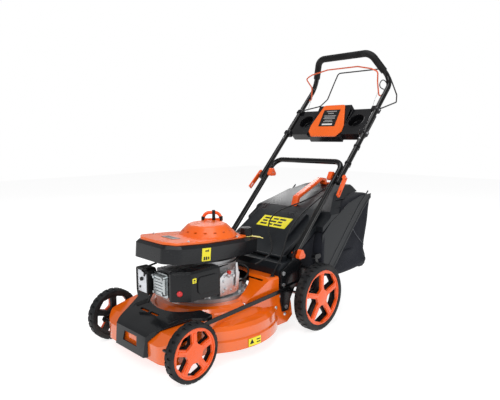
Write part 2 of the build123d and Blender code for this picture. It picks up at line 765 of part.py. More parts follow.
with BuildPart() as blade:
    with BuildSketch(Plane.XY.offset(BLADE_Z)):
        with Locations((0, CRANK_Y)):
            Rectangle(2 * CUT_RADIUS - 8, 52)
            Circle(CUT_RADIUS, mode=Mode.INTERSECT)
            Circle(5, mode=Mode.SUBTRACT)
    extrude(amount=BLADE_T)
    # raised trailing wings at both tips
    for side in (1, -1):
        wing_plane = side_plane(min(side * 120, side * 200))
        with BuildSketch(wing_plane):
            Polygon(
                (CRANK_Y + side * 14, BLADE_Z + BLADE_T),
                (CRANK_Y + side * 26, BLADE_Z + BLADE_T),
                (CRANK_Y + side * 32, BLADE_Z + BLADE_T + 14),
                (CRANK_Y + side * 29, BLADE_Z + BLADE_T + 15),
                align=None,
            )
        extrude(amount=80)
keep(blade, "blade")

with BuildPart() as blade_bolt:
    z_rod(0, CRANK_Y, 5, BLADE_Z - 1, BLADE_Z + BLADE_T + 8)
    z_rod(0, CRANK_Y, 15, BLADE_Z - 3, BLADE_Z)
    with BuildSketch(Plane.XY.offset(BLADE_Z - 10)):
        with Locations((0, CRANK_Y)):
            RegularPolygon(9, 6)
    extrude(amount=7)
keep(blade_bolt, "blade_bolt")

# ---------------------------------------------------------------- self-propelled drive
SHAFT_Y = REAR_Y - 25.0
SHAFT_R = 6.0
GEAR_X = 60.0
GEAR_PULLEY_R = 42.0
GEAR_PULLEY_Y = SHAFT_Y
ARM_X = 206.0                # inner face of the rear arms
PINION_R = 9.0

with BuildPart() as gearbox:
    with BuildSketch(Plane.XY.offset(101)) as gear_plan:
        with Locations((GEAR_X, SHAFT_Y)):
            RectangleRounded(56, 44, 10)
    extrude(amount=42)
    fillet(gearbox.faces().sort_by(Axis.Z)[-1].edges(), radius=6)
    x_rod(SHAFT_Y, REAR_Z, SHAFT_R + 5, GEAR_X - 40, GEAR_X + 40)
    x_rod(SHAFT_Y, REAR_Z, SHAFT_R + SHAFT_FIT, 0, 120, Mode.SUBTRACT)
    z_rod(GEAR_X, GEAR_PULLEY_Y, 7 + SHAFT_FIT, 90, 113, Mode.SUBTRACT)
    # torque arm to the axle rod
    side_slab(
        [
            (SHAFT_Y + 20, 108),
            (SHAFT_Y + 20, 124),
            (REAR_PIVOT_Y - 7.2, 130),
            (REAR_PIVOT_Y - 7.2, 116),
        ],
        GEAR_X - 4,
        GEAR_X + 4,
    )
keep(gearbox, "gearbox")

with BuildPart() as gearbox_pulley:
    z_rod(GEAR_X, GEAR_PULLEY_Y, 7, PULLEY_Z + 9, 112)
    z_rod(GEAR_X, GEAR_PULLEY_Y, GEAR_PULLEY_R + 5, PULLEY_Z - 9, PULLEY_Z - 6)
    z_rod(GEAR_X, GEAR_PULLEY_Y, GEAR_PULLEY_R + 5, PULLEY_Z + 6, PULLEY_Z + 9)
    z_rod(GEAR_X, GEAR_PULLEY_Y, GEAR_PULLEY_R - BELT_T / 2, PULLEY_Z - 6, PULLEY_Z + 6)
keep(gearbox_pulley, "gearbox_pulley")

with BuildPart() as drive_shaft:
    x_rod(SHAFT_Y, REAR_Z, SHAFT_R, -ARM_X - 15, ARM_X + 15)
    for x_low in (-ARM_X - 15, ARM_X + 7):
        x_rod(SHAFT_Y, REAR_Z, PINION_R, x_low, x_low + 8)
keep(drive_shaft, "drive_shaft")


def belt_loop(shift):
    """Closed belt outline round both pulleys, offset from the pitch line."""
    with BuildSketch() as loop_sketch:
        with Locations((0, CRANK_Y)):
            Circle(CRANK_PULLEY_R + shift)
        with Locations((GEAR_X, GEAR_PULLEY_Y)):
            Circle(GEAR_PULLEY_R + shift)
        make_hull()
    return loop_sketch.sketch


belt_outside = belt_loop(BELT_T / 2)
belt_inside = belt_loop(0.2 - BELT_T / 2)
with BuildPart() as drive_belt:
    with BuildSketch(Plane.XY.offset(PULLEY_Z - 5)) as belt_section:
        add(belt_outside)
        add(belt_inside, mode=Mode.SUBTRACT)
    extrude(amount=10)
keep(drive_belt, "drive_belt")

# ================================================================ wheels and axles
BAR_X = 201.5                # inner face of the height link bar
BAR_T = 3.0
FRONT_ARM_X = 189.0
ARM_T = 5.0
WHEEL_GAP = 1.0


def spoke_window(rim_r, hub_r, spoke_w):
    """Corners of one opening between two spokes that stand 72 degrees apart."""
    points = []
    for radius, turn in ((hub_r, -1), (rim_r, -1), (rim_r * 1.06, 0), (rim_r, 1), (hub_r, 1)):
        half = radians(36) - spoke_w / 2 / radius
        angle = radians(90 + 36) + turn * half
        points.append((radius * cos(angle), radius * sin(angle)))
    return points


def make_wheel(side, end, wheel_y, diameter, width, track, rim_r, lug_count):
    """One black moulded wheel with its tyre, and the orange cover on its outer face."""
    radius = diameter / 2
    inner = track / 2 - width
    outer = track / 2
    hand = "left" if side > 0 else "right"
    spin_plane = Plane(origin=(0, wheel_y, radius), x_dir=(1, 0, 0), z_dir=(0, -1, 0))
    spin_axis = Axis((0, wheel_y, radius), (1, 0, 0))
    wheel_outline = [
        (inner + 3, rim_r - 5),
        (inner, rim_r - 2),
        (inner, radius - 6),
        (inner + 5, radius),
        (outer - 5, radius),
        (outer, radius - 6),
        (outer, rim_r),
        (outer - 12, rim_r),
        (outer - 12, rim_r - 5),
    ]
    with BuildPart() as wheel:
        with BuildSketch(spin_plane) as tyre_section:
            Polygon(*[(side * x, r) for x, r in wheel_outline], align=None)
        revolve(tyre_section.sketch, axis=spin_axis)
        web = inner + 6 if side > 0 else -inner - 16
        x_rod(wheel_y, radius, rim_r - 2, web, web + 10)
        with BuildSketch(side_plane(web - 1)) as windows:
            with Locations((wheel_y, radius)):
                with PolarLocations(0, 5):
                    Polygon(*spoke_window(rim_r - 12, 28, 20), align=None)
            fillet(windows.vertices(), radius=3)
        extrude(windows.sketch, amount=12, mode=Mode.SUBTRACT)
        hub = sorted((side * inner, side * (outer - 12)))
        x_rod(wheel_y, radius, 21, hub[0], hub[1])
        x_rod(wheel_y, radius, STUB_R + SHAFT_FIT, -300, 300, Mode.SUBTRACT)
        # tread lugs on both shoulders
        for start, phase in ((inner - 1, 0), (outer - width * 0.45, 180 / lug_count)):
            low = start if side > 0 else -start - width * 0.45 - 1
            with BuildSketch(side_plane(low)) as grooves:
                with Locations((wheel_y, radius)):
                    with PolarLocations(radius, lug_count, start_angle=phase):
                        Rectangle(6, 7)
            extrude(grooves.sketch, amount=width * 0.45 + 1, mode=Mode.SUBTRACT)
    keep(wheel, f"{end}_wheel_{hand}")
    with BuildPart() as cover:
        face = outer - 11.5 if side > 0 else -outer + 1.5
        x_rod(wheel_y, radius, rim_r - 0.3, face, face + 10)
        with BuildSketch(side_plane(face - 1)) as windows:
            with Locations((wheel_y, radius)):
                with PolarLocations(0, 5):
                    Polygon(*spoke_window(rim_r - 11, 30, 19), align=None)
            fillet(windows.vertices(), radius=4)
        extrude(windows.sketch, amount=12, mode=Mode.SUBTRACT)
        dome = outer - 12 if side > 0 else -outer + 9
        x_rod(wheel_y, radius, STUB_R + 3, dome, dome + 3, Mode.SUBTRACT)
        # dished ring between rim and hub
        dish = outer - 3.5 if side > 0 else -outer + 1.4
        with BuildSketch(side_plane(dish)) as ring:
            with Locations((wheel_y, radius)):
                Circle(rim_r - 6)
                Circle(34, mode=Mode.SUBTRACT)
        extrude(ring.sketch, amount=2.1, mode=Mode.SUBTRACT)
    keep(cover, f"{end}_wheel_cover_{hand}")


for side in (1, -1):
    make_wheel(side, "front", FRONT_Y, FRONT_WHEEL_D, FRONT_WHEEL_W, FRONT_TRACK, 75.5, 24)
    make_wheel(side, "rear", REAR_Y, REAR_WHEEL_D, REAR_WHEEL_W, REAR_TRACK, 100.8, 32)


def arm_outline(pivot_y, wheel_y, height, eye_r):
    """Lozenge plate from an axle pivot to a wheel centre."""
    ends = sorted(((pivot_y, -1), (wheel_y, 1)))
    low, high = ends[0][0], ends[1][0]
    return [
        (low - eye_r, height),
        (low - eye_r * 0.6, height + eye_r * 0.8),
        (low, height + eye_r),
        (high, height + eye_r),
        (high + eye_r * 0.6, height + eye_r * 0.8),
        (high + eye_r, height),
        (high + eye_r * 0.6, height - eye_r * 0.8),
        (high, height - eye_r),
        (low, height - eye_r),
        (low - eye_r * 0.6, height - eye_r * 0.8),
    ]


FRONT_INNER = FRONT_TRACK / 2 - FRONT_WHEEL_W
REAR_INNER = REAR_TRACK / 2 - REAR_WHEEL_W
with BuildPart() as front_axle:
    x_rod(FRONT_PIVOT_Y, FRONT_Z, AXLE_ROD_R, -FRONT_ARM_X - ARM_T, FRONT_ARM_X + ARM_T)
    for side in (1, -1):
        low = FRONT_ARM_X if side > 0 else -FRONT_ARM_X - ARM_T
        side_slab(arm_outline(FRONT_PIVOT_Y, FRONT_Y, FRONT_Z, 11), low, low + ARM_T)
        stub = sorted((side * FRONT_ARM_X, side * (FRONT_TRACK / 2 - 12.5)))
        x_rod(FRONT_Y, FRONT_Z, STUB_R, stub[0], stub[1])
    side_slab(
        [
            (FRONT_PIVOT_Y - 8, FRONT_Z),
            (FRONT_PIVOT_Y - 6, FRONT_Z + LINK_ARM + 6),
            (FRONT_PIVOT_Y + 6, FRONT_Z + LINK_ARM + 6),
            (FRONT_PIVOT_Y + 8, FRONT_Z),
        ],
        FRONT_ARM_X,
        FRONT_ARM_X + ARM_T,
    )
    x_rod(FRONT_PIVOT_Y, FRONT_Z + LINK_ARM, 3, FRONT_ARM_X, FRONT_INNER - WHEEL_GAP)
keep(front_axle, "front_axle")

with BuildPart() as rear_axle:
    x_rod(REAR_PIVOT_Y, REAR_Z, AXLE_ROD_R + 1, -ARM_X - ARM_T, ARM_X + ARM_T)
    for side in (1, -1):
        low = ARM_X if side > 0 else -ARM_X - ARM_T
        side_slab(arm_outline(SHAFT_Y, REAR_PIVOT_Y, REAR_Z, 13), low, low + ARM_T)
        stub = sorted((side * ARM_X, side * (REAR_TRACK / 2 - 12.5)))
        x_rod(REAR_Y, REAR_Z, STUB_R, stub[0], stub[1])
    side_slab(
        [
            (REAR_PIVOT_Y - 8, REAR_Z),
            (REAR_PIVOT_Y + 8, REAR_Z),
            (REAR_PIVOT_Y + 6, REAR_Z - LINK_ARM - 6),
            (REAR_PIVOT_Y - 6, REAR_Z - LINK_ARM - 6),
        ],
        ARM_X,
        ARM_X + ARM_T,
    )
    x_rod(REAR_PIVOT_Y, REAR_Z - LINK_ARM, 3, BAR_X - 1, ARM_X + ARM_T)
    x_rod(SHAFT_Y, REAR_Z, SHAFT_R + SHAFT_FIT, -300, 300, Mode.SUBTRACT)
keep(rear_axle, "rear_axle")

LEVER_X = ARM_X + ARM_T + 0.3
with BuildPart() as height_lever:
    side_slab(
        [
            (REAR_PIVOT_Y - 12, REAR_Z - 10),
            (REAR_PIVOT_Y + 12, REAR_Z - 10),
            (REAR_PIVOT_Y + 10, REAR_Z + 20),
            (REAR_PIVOT_Y - 16, REAR_Z + 140),
            (REAR_PIVOT_Y - 30, REAR_Z + 140),
            (REAR_PIVOT_Y - 10, REAR_Z + 20),
        ],
        LEVER_X,
        LEVER_X + 4,
    )
    with BuildSketch(side_plane(LEVER_X - 6)):
        with Locations((REAR_PIVOT_Y - 23, REAR_Z + 142)):
            SlotOverall(34, 18)
    extrude(amount=18)
keep(height_lever, "height_lever")

BAR_H = 14.0
SLOT_LIFT = 6.0
with BuildPart() as link_bar:
    bar_line = [
        (FRONT_PIVOT_Y, FRONT_Z + LINK_ARM - 3),
        (FRONT_Y + 83, 150),
        (REAR_Y - 30, 178),
        (REAR_Y + 6, 178),
        (REAR_PIVOT_Y - 29, 128),
        (REAR_PIVOT_Y - 29, 104),
        (REAR_PIVOT_Y, REAR_Z - LINK_ARM),
    ]
    for (y0, z0), (y1, z1) in zip(bar_line, bar_line[1:]):
        run = sqrt((y1 - y0) ** 2 + (z1 - z0) ** 2)
        ny = -(z1 - z0) / run * BAR_H / 2
        nz = (y1 - y0) / run * BAR_H / 2
        side_slab(
            [(y0 + ny, z0 + nz), (y1 + ny, z1 + nz), (y1 - ny, z1 - nz), (y0 - ny, z0 - nz)],
            BAR_X,
            BAR_X + BAR_T,
        )
    for y, z in bar_line[1:]:
        x_rod(y, z, BAR_H / 2, BAR_X, BAR_X + BAR_T)
    # slotted eye in front, because the two arms swing opposite ways
    with BuildSketch(side_plane(BAR_X)):
        with Locations((FRONT_PIVOT_Y, FRONT_Z + LINK_ARM - SLOT_LIFT / 2)):
            SlotOverall(SLOT_LIFT + 20, 16, rotation=90)
    extrude(amount=BAR_T)
    with BuildSketch(side_plane(BAR_X)):
        with Locations((FRONT_PIVOT_Y, FRONT_Z + LINK_ARM - SLOT_LIFT / 2)):
            SlotOverall(SLOT_LIFT + 7.2, 6.6, rotation=90)
    extrude(amount=BAR_T, mode=Mode.SUBTRACT)
    x_rod(REAR_PIVOT_Y, REAR_Z - LINK_ARM, 3 + PIN_FIT, 190, 230, Mode.SUBTRACT)
keep(link_bar, "link_bar")

# ================================================================ handle
def on_handle(x, distance, front=0.0):
    """Point at x, a distance up from the cam joint and in front of the handle plane."""
    y, z = along(distance, front)
    return (x, y, z)


lower_points = mirrored([on_handle(LOWER_X, -LOWER_LENGTH - 22), on_handle(LOWER_X, 76)])
lower_tube = bent_tube(lower_points, [42, 42], TUBE_R, TUBE_R - TUBE_WALL)
with BuildPart() as lower_handle:
    add(lower_tube)
    x_rod(KNOB_Y, KNOB_Z, BOLT_R + PIN_FIT, -250, 250, Mode.SUBTRACT)
    x_rod(JOINT_Y, JOINT_Z, BOLT_R + PIN_FIT, -250, 250, Mode.SUBTRACT)
keep(lower_handle, "lower_handle")

GRIP_TOP_X = 135.0
GRIP_TOP_Y = BEND_Y - 65.0
GRIP_TOP_Z = BEND_Z + 118.0
TOP_R = 50.0
upper_points = mirrored(
    [on_handle(UPPER_X, -30), (UPPER_X, BEND_Y, BEND_Z), (GRIP_TOP_X, GRIP_TOP_Y, GRIP_TOP_Z)]
)
upper_tube = bent_tube(upper_points, [60, TOP_R, TOP_R, 60], TUBE_R, TUBE_R - TUBE_WALL)
BRAKE_AT = 450.0             # bail pivots, up the tube from the cam joint
DRIVE_AT = 373.0
BRAKE_Y, BRAKE_Z = along(BRAKE_AT)
DRIVE_Y, DRIVE_Z = along(DRIVE_AT)
with BuildPart() as upper_handle:
    add(upper_tube)
    x_rod(JOINT_Y, JOINT_Z, BOLT_R + PIN_FIT, -250, 250, Mode.SUBTRACT)
    x_rod(BRAKE_Y, BRAKE_Z, BAIL_R + PIN_FIT, -250, 250, Mode.SUBTRACT)
    x_rod(DRIVE_Y, DRIVE_Z, BAIL_R + PIN_FIT, -250, 250, Mode.SUBTRACT)
keep(upper_handle, "upper_handle")

FOAM_FROM = 0.34             # start of the foam on the run above the bend
foam_start = (
    UPPER_X + (GRIP_TOP_X - UPPER_X) * FOAM_FROM,
    BEND_Y + (GRIP_TOP_Y - BEND_Y) * FOAM_FROM,
    BEND_Z + (GRIP_TOP_Z - BEND_Z) * FOAM_FROM,
)
foam = bent_tube(
    mirrored([foam_start, (GRIP_TOP_X, GRIP_TOP_Y, GRIP_TOP_Z)]), [TOP_R, TOP_R], GRIP_R, TUBE_R + 0.1
)
with BuildPart() as grip:
    add(foam)
keep(grip, "grip")

# ---------------------------------------------------------------- cam levers, clamp bolts and knobs
CAM_X = UPPER_X + TUBE_R + 7.0
LEVER_LENGTH = 90.0
with BuildPart() as clamp_bolts:
    for side in (1, -1):
        ends = sorted((side * (LOWER_X - TUBE_R - 18), side * (CAM_X - 3)))
        x_rod(JOINT_Y, JOINT_Z, BOLT_R, ends[0], ends[1])
        eye = Plane(origin=(side * CAM_X, JOINT_Y, JOINT_Z), x_dir=(1, 0, 0), z_dir=(0, S, -C))
        with BuildSketch(eye.offset(-3.6)):
            Circle(6)
        extrude(amount=7.2)
        with BuildSketch(eye.offset(-5)):
            Circle(2.5 + PIN_FIT)
        extrude(amount=10, mode=Mode.SUBTRACT)
keep(clamp_bolts, "clamp_bolts")

for side, hand in ((1, "left"), (-1, "right")):
    lever_plane = Plane(
        origin=(side * CAM_X, JOINT_Y, JOINT_Z), x_dir=(side, 0, 0), z_dir=(0, side * S, -side * C)
    )
    with BuildPart() as cam_lever:
        # sketch coordinates: x outward, y down the handle
        with BuildSketch(lever_plane.offset(-8)) as lever_side:
            Polygon(
                (-6.5, -1.5),
                (-3.5, -5.4),
                (3.5, -5.6),
                (8, -2),
                (16, LEVER_LENGTH),
                (9, LEVER_LENGTH + 2),
                (1, 14),
                (-6.5, 6),
                align=None,
            )
        extrude(amount=16)
        with BuildSketch(lever_plane.offset(-4.4)):
            with Locations((-2, 0)):
                Rectangle(22, 34)
        extrude(amount=8.8, mode=Mode.SUBTRACT)
        with BuildSketch(lever_plane.offset(-8)):
            Circle(2.5)
        extrude(amount=16)
        slot_plane = Plane(
            origin=(
                side * (CAM_X + 12),
                JOINT_Y - (LEVER_LENGTH - 16) * C,
                JOINT_Z - (LEVER_LENGTH - 16) * S,
            ),
            x_dir=(0, -C, -S),
            z_dir=(side, 0, 0),
        )
        with BuildSketch(slot_plane.offset(-20)):
            SlotOverall(26, 8)
        extrude(amount=40, mode=Mode.SUBTRACT)
    keep(cam_lever, f"cam_lever_{hand}")


def knob_form(y, z, x_low, x_high, lobe_r, centre_r):
    """A three-lobed knob along X in the part being built."""
    with BuildSketch(side_plane(x_low)) as knob_plan:
        with Locations((y, z)):
            Circle(centre_r)
            with PolarLocations(centre_r * 0.75, 3, start_angle=90):
                Circle(lobe_r)
    extrude(knob_plan.sketch, amount=x_high - x_low)


for side, hand in ((1, "left"), (-1, "right")):
    span = sorted((side * (LOWER_X - TUBE_R - 20), side * (LOWER_X - TUBE_R - 1)))
    with BuildPart() as clamp_knob:
        knob_form(JOINT_Y, JOINT_Z, span[0], span[1], 9, 14)
        x_rod(JOINT_Y, JOINT_Z, BOLT_R + PIN_FIT, -250, 250, Mode.SUBTRACT)
    keep(clamp_knob, f"clamp_knob_{hand}")
    face = BRACKET_X + PLATE + 1
    span = sorted((side * face, side * (face + 17)))
    stud = sorted((side * (LOWER_X - TUBE_R - 3), side * (face + 5)))
    with BuildPart() as lower_knob:
        knob_form(KNOB_Y, KNOB_Z, span[0], span[1], 9, 13)
        x_rod(KNOB_Y, KNOB_Z, BOLT_R, stud[0], stud[1])
    keep(lower_knob, f"lower_knob_{hand}")

# ---------------------------------------------------------------- console
CONSOLE_AT = 302.0
CONSOLE_HALF = UPPER_X - TUBE_R - 0.5
CUP_X = 132.0
CUP_R = 34.0
CUP_DEPTH = 32.0


def handle_plane(distance, front):
    """Plane parallel to the handle; sketch y runs up the handle."""
    return Plane(origin=on_handle(0, distance, front), x_dir=(1, 0, 0), z_dir=(0, -S, C))


with BuildPart() as console:
    with BuildSketch(handle_plane(CONSOLE_AT, -38)):
        RectangleRounded(2 * CONSOLE_HALF, 146, 18)
    extrude(amount=38)
    # recess for the sloping panel in the middle
    side_slab(
        [along(200, -14), along(222, -10), along(300, 4.4), along(300, 40), along(200, 40)],
        -90,
        90,
        Mode.SUBTRACT,
    )
    side_slab([along(222, -44), along(222, -10), along(384, 20), along(384, -22)], -86, 86)
    with BuildSketch(handle_plane(CONSOLE_AT, 30)):
        with Locations((CUP_X, 4), (-CUP_X, 4)):
            Circle(CUP_R)
    extrude(amount=-30 - CUP_DEPTH, mode=Mode.SUBTRACT)
    # hollow underside
    with BuildSketch(handle_plane(CONSOLE_AT, -60)):
        Rectangle(2 * 80, 130)
    extrude(amount=46, mode=Mode.SUBTRACT)
keep(console, "console")

PANEL_TILT = 10.5
panel_turn = radians(HANDLE_RAKE + PANEL_TILT)
panel_plane = Plane(
    origin=on_handle(0, 303, 5.6), x_dir=(1, 0, 0), z_dir=(0, -sin(panel_turn), cos(panel_turn))
)
with BuildPart() as console_panel:
    with BuildSketch(panel_plane) as panel_plan:
        Polygon(
            (-64, -84),
            (64, -84),
            (88, -58),
            (88, -28),
            (54, 80),
            (-54, 80),
            (-88, -28),
            (-88, -58),
            align=None,
        )
        fillet(panel_plan.vertices(), radius=12)
    extrude(amount=7)
    chamfer(console_panel.faces().sort_by(Axis.Z)[-1].edges(), length=2.5)
keep(console_panel, "console_panel")

# ---------------------------------------------------------------- bails
BAIL_BACK = OVERALL_LENGTH / 2 - BAIL_R
brake_rod = bent_tube(
    mirrored(
        [
            (UPPER_X, BRAKE_Y, BRAKE_Z),
            (180, BRAKE_Y, BRAKE_Z),
            (175, BRAKE_Y - 5, BRAKE_Z + 58),
            (190, BRAKE_Y - 31, BRAKE_Z + 98),
            (158, BRAKE_Y - 31, BRAKE_Z + 113),
            (80, BRAKE_Y - 14, BRAKE_Z + 131),
        ]
    ),
    [10, 20, 12, 14, 30, 30, 14, 12, 20, 10],
    BAIL_R,
)
with BuildPart() as brake_bail:
    add(brake_rod)
keep(brake_bail, "brake_bail")

drive_rod = bent_tube(
    mirrored(
        [
            (UPPER_X, DRIVE_Y, DRIVE_Z),
            (UPPER_X + 21, DRIVE_Y, DRIVE_Z),
            (206, BAIL_BACK - 40, DRIVE_Z + 33),
            (188, BAIL_BACK - 4, DRIVE_Z + 68),
            (150, BAIL_BACK, DRIVE_Z + 150),
            (118, BAIL_BACK - 15, DRIVE_Z + 188),
        ]
    ),
    [6, 20, 20, 30, 26, 26, 30, 20, 20, 6],
    BAIL_R,
)
with BuildPart() as drive_bail:
    add(drive_rod)
keep(drive_bail, "drive_bail")

# ================================================================ rear flap and grass bag
ROOF_SLOPE = 0.61
ROOF_Z = 276.0


def roof(y, drop=0.0):
    """Height of the sloping roof line over the rear of the machine."""
    return ROOF_Z + ROOF_SLOPE * (y - FLAP_Y) - drop


FLAP_END = REAR_Y + 134.0
FLAP_WALL = 4.0
LABEL_FROM = REAR_Y - 34.0
LABEL_TO = REAR_Y + 82.0
with BuildPart() as rear_flap:
    start = FLAP_Y + 2
    top = [
        (start, roof(start)),
        (LABEL_FROM - 16, roof(LABEL_FROM - 16)),
        (LABEL_FROM, roof(LABEL_FROM) + 16),
        (LABEL_TO, roof(LABEL_TO) + 16),
        (LABEL_TO + 16, roof(LABEL_TO + 16)),
        (FLAP_END, roof(FLAP_END)),
    ]
    side_slab(
        [
            top[0],
            top[1],
            top[4],
            top[5],
            (FLAP_END, roof(FLAP_END, 10)),
            (FLAP_END - 24, roof(FLAP_END - 24, 20)),
            (start + 14, roof(start + 14, 20)),
            (start, FLAP_Z - 3),
        ],
        -FLAP_HALF,
        FLAP_HALF,
    )
    side_slab([top[1], top[2], top[3], top[4]], -FLAP_HALF + 34, FLAP_HALF - 34)
    side_slab(
        [
            (start + 4, roof(start + 4, FLAP_WALL)),
            (FLAP_END - FLAP_WALL, roof(FLAP_END - FLAP_WALL, FLAP_WALL)),
            (FLAP_END - FLAP_WALL, roof(FLAP_END, 40)),
            (start + 4, roof(start + 4, 40)),
        ],
        FLAP_WALL - FLAP_HALF,
        FLAP_HALF - FLAP_WALL,
        Mode.SUBTRACT,
    )
    side_slab(
        [(y, z - FLAP_WALL) for y, z in (top[1], top[2], top[3], top[4])],
        -FLAP_HALF + 38,
        FLAP_HALF - 38,
        Mode.SUBTRACT,
    )
    # hinge rod and its knuckle
    x_rod(FLAP_Y, FLAP_Z, 3, -FLAP_HALF - 12, FLAP_HALF + 12)
    x_rod(FLAP_Y, FLAP_Z, 6, -FLAP_HALF, FLAP_HALF)
keep(rear_flap, "rear_flap")

NECK_FROM = CHUTE_BACK + 4.0
MAIN_FROM = REAR_Y + 83.0
BAG_END = REAR_Y + 430.0
LID_DROP = 27.0
BAG_WALL = 4.0
LID_WALL = 4.0
lid_top = [
    (NECK_FROM, roof(NECK_FROM, LID_DROP)),
    (FLAP_END - 4, roof(FLAP_END, LID_DROP)),
    (FLAP_END + 8, 412),
    (REAR_Y + 263, 470),
    (REAR_Y + 353, 492),
    (REAR_Y + 425, 494),
    (BAG_END, 486),
]
lid_bottom = [
    (BAG_END, 466),
    (REAR_Y + 353, 462),
    (REAR_Y + 263, 440),
    (FLAP_END + 10, 382),
    (NECK_FROM, roof(NECK_FROM, LID_DROP + 24)),
]


def lid_form(inset):
    """The bag's lid as a block, or the space under it when inset by its wall."""
    low = 40 if inset else 0
    top = [(y, z - inset) for y, z in lid_top]
    bottom = [(y, z - low) for y, z in lid_bottom]
    with BuildPart() as form:
        with BuildSketch(side_plane(inset - BAG_NECK_HALF)) as neck:
            Polygon(*(top + bottom), align=None)
            with Locations((NECK_FROM + inset + 250, 300)):
                Rectangle(500, 800, mode=Mode.INTERSECT)
        extrude(neck.sketch, amount=2 * (BAG_NECK_HALF - inset))
        with BuildSketch(side_plane(inset - BAG_HALF)) as body:
            Polygon(*(top + bottom), align=None)
            with Locations(((MAIN_FROM + BAG_END) / 2, 300)):
                Rectangle(BAG_END - MAIN_FROM - 2 * inset, 800, mode=Mode.INTERSECT)
        extrude(body.sketch, amount=2 * (BAG_HALF - inset))
        # the sides fall away below the middle
        across = Plane(origin=(0, NECK_FROM - 1, 0), x_dir=(1, 0, 0), z_dir=(0, -1, 0))
        for side in (1, -1):
            with BuildSketch(across) as shoulder:
                Polygon(
                    (side * 205, 400 - inset),
                    (side * 205, 600),
                    (side * 90, 600),
                    (side * 90, 498 - inset),
                    align=None,
                )
            extrude(shoulder.sketch, amount=-600, mode=Mode.SUBTRACT)
    return form.part


lid_block = lid_form(0)
lid_hollow = lid_form(LID_WALL)
with BuildPart() as bag_lid:
    add(lid_block)
    add(lid_hollow, mode=Mode.SUBTRACT)
keep(bag_lid, "bag_lid")

bag_outline = [
    (NECK_FROM, 205),
    (REAR_Y + 55, 176),
    (REAR_Y + 215, 146),
    (REAR_Y + 395, 160),
    (REAR_Y + 420, 300),
    (BAG_END, 465),
    (REAR_Y + 353, 461),
    (REAR_Y + 263, 439),
    (FLAP_END + 10, 381),
    (NECK_FROM, roof(NECK_FROM, LID_DROP + 25)),
]


def bag_slab(half, first_y, inset):
    """Side view of the bag behind first_y, drawn in by inset all round."""
    with BuildSketch(side_plane(inset - half)) as profile:
        Polygon(*bag_outline, align=None)
        if inset:
            offset(amount=-inset, mode=Mode.REPLACE)
        with Locations((first_y - 200 + inset, 300)):
            Rectangle(400, 900, mode=Mode.SUBTRACT)
    return profile.sketch


def bag_form(inset):
    """The cloth bag as a block: a neck between the tubes and a wider body behind them."""
    neck = bag_slab(BAG_NECK_HALF, NECK_FROM - 10, inset)
    body = bag_slab(BAG_HALF - 2, MAIN_FROM, inset)
    with BuildPart() as form:
        extrude(neck, amount=2 * (BAG_NECK_HALF - inset))
        extrude(body, amount=2 * (BAG_HALF - 2 - inset))
    return form.part


bag_block = bag_form(0)
bag_hollow = bag_form(BAG_WALL)
with BuildPart() as bag_cloth:
    add(bag_block)
    add(bag_hollow, mode=Mode.SUBTRACT)
    # mouth in front
    with BuildSketch(Plane(origin=(0, NECK_FROM - 5, 0), x_dir=(1, 0, 0), z_dir=(0, -1, 0))):
        with Locations((0, 228)):
            Rectangle(2 * (BAG_NECK_HALF - 12), 38)
    extrude(amount=-30, mode=Mode.SUBTRACT)
keep(bag_cloth, "bag_cloth")

with BuildPart() as bag_handle:
    side_slab(
        [
            (FLAP_END + 14, 416),
            (FLAP_END + 28, 458),
            (REAR_Y + 330, 526),
            (REAR_Y + 362, 520),
            (REAR_Y + 366, 493),
            (REAR_Y + 350, 492.5),
            (REAR_Y + 346, 508),
            (REAR_Y + 328, 512),
            (FLAP_END + 42, 448),
            (FLAP_END + 36, 427),
        ],
        -15,
        15,
    )
keep(bag_handle, "bag_handle")

# ================================================================ control cables
CABLE_R = 2.5


def cable(points):
    """A cable along straight runs joined by arcs as large as the runs allow."""
    radii = []
    for before, here, after in zip(points, points[1:], points[2:]):
        first = Vector(*here) - Vector(*before)
        second = Vector(*after) - Vector(*here)
        turn = radians(first.get_angle(second))
        radii.append(round(0.45 * min(first.length, second.length) * cos(turn / 2) / sin(turn / 2), 1))
    print("cable radii", radii)
    return bent_tube(points, radii, CABLE_R)


brake_points = [
    on_handle(160, -12, -30),
    (148, 165, 500),
    (128, 120, 470),
    (96, 70, 446),
    (60, 20, 428),
    (40, -30, 398),
    (66, -74, 356),
    (112, -104, 330),
    (150, -140, 300),
    (158, -186, 282),
    (146, -226, 270),
]
drive_points = [
    on_handle(160, -26, -28),
    (150, 148, 470),
    (132, 108, 440),
    (122, 60, 410),
    (124, 10, 380),
    (136, -40, 346),
    (158, -84, 312),
    (176, -122, 276),
    (176, -150, 250),
    (172, -164, 222),
]
for points, name in ((brake_points, "brake_cable"), (drive_points, "drive_cable")):
    run = cable(points)
    with BuildPart() as cable_part:
        add(run)
    keep(cable_part, name)
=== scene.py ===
import math
from math import cos, sin, radians

import bmesh
import bpy
from mathutils import Euler, Matrix, Vector, noise


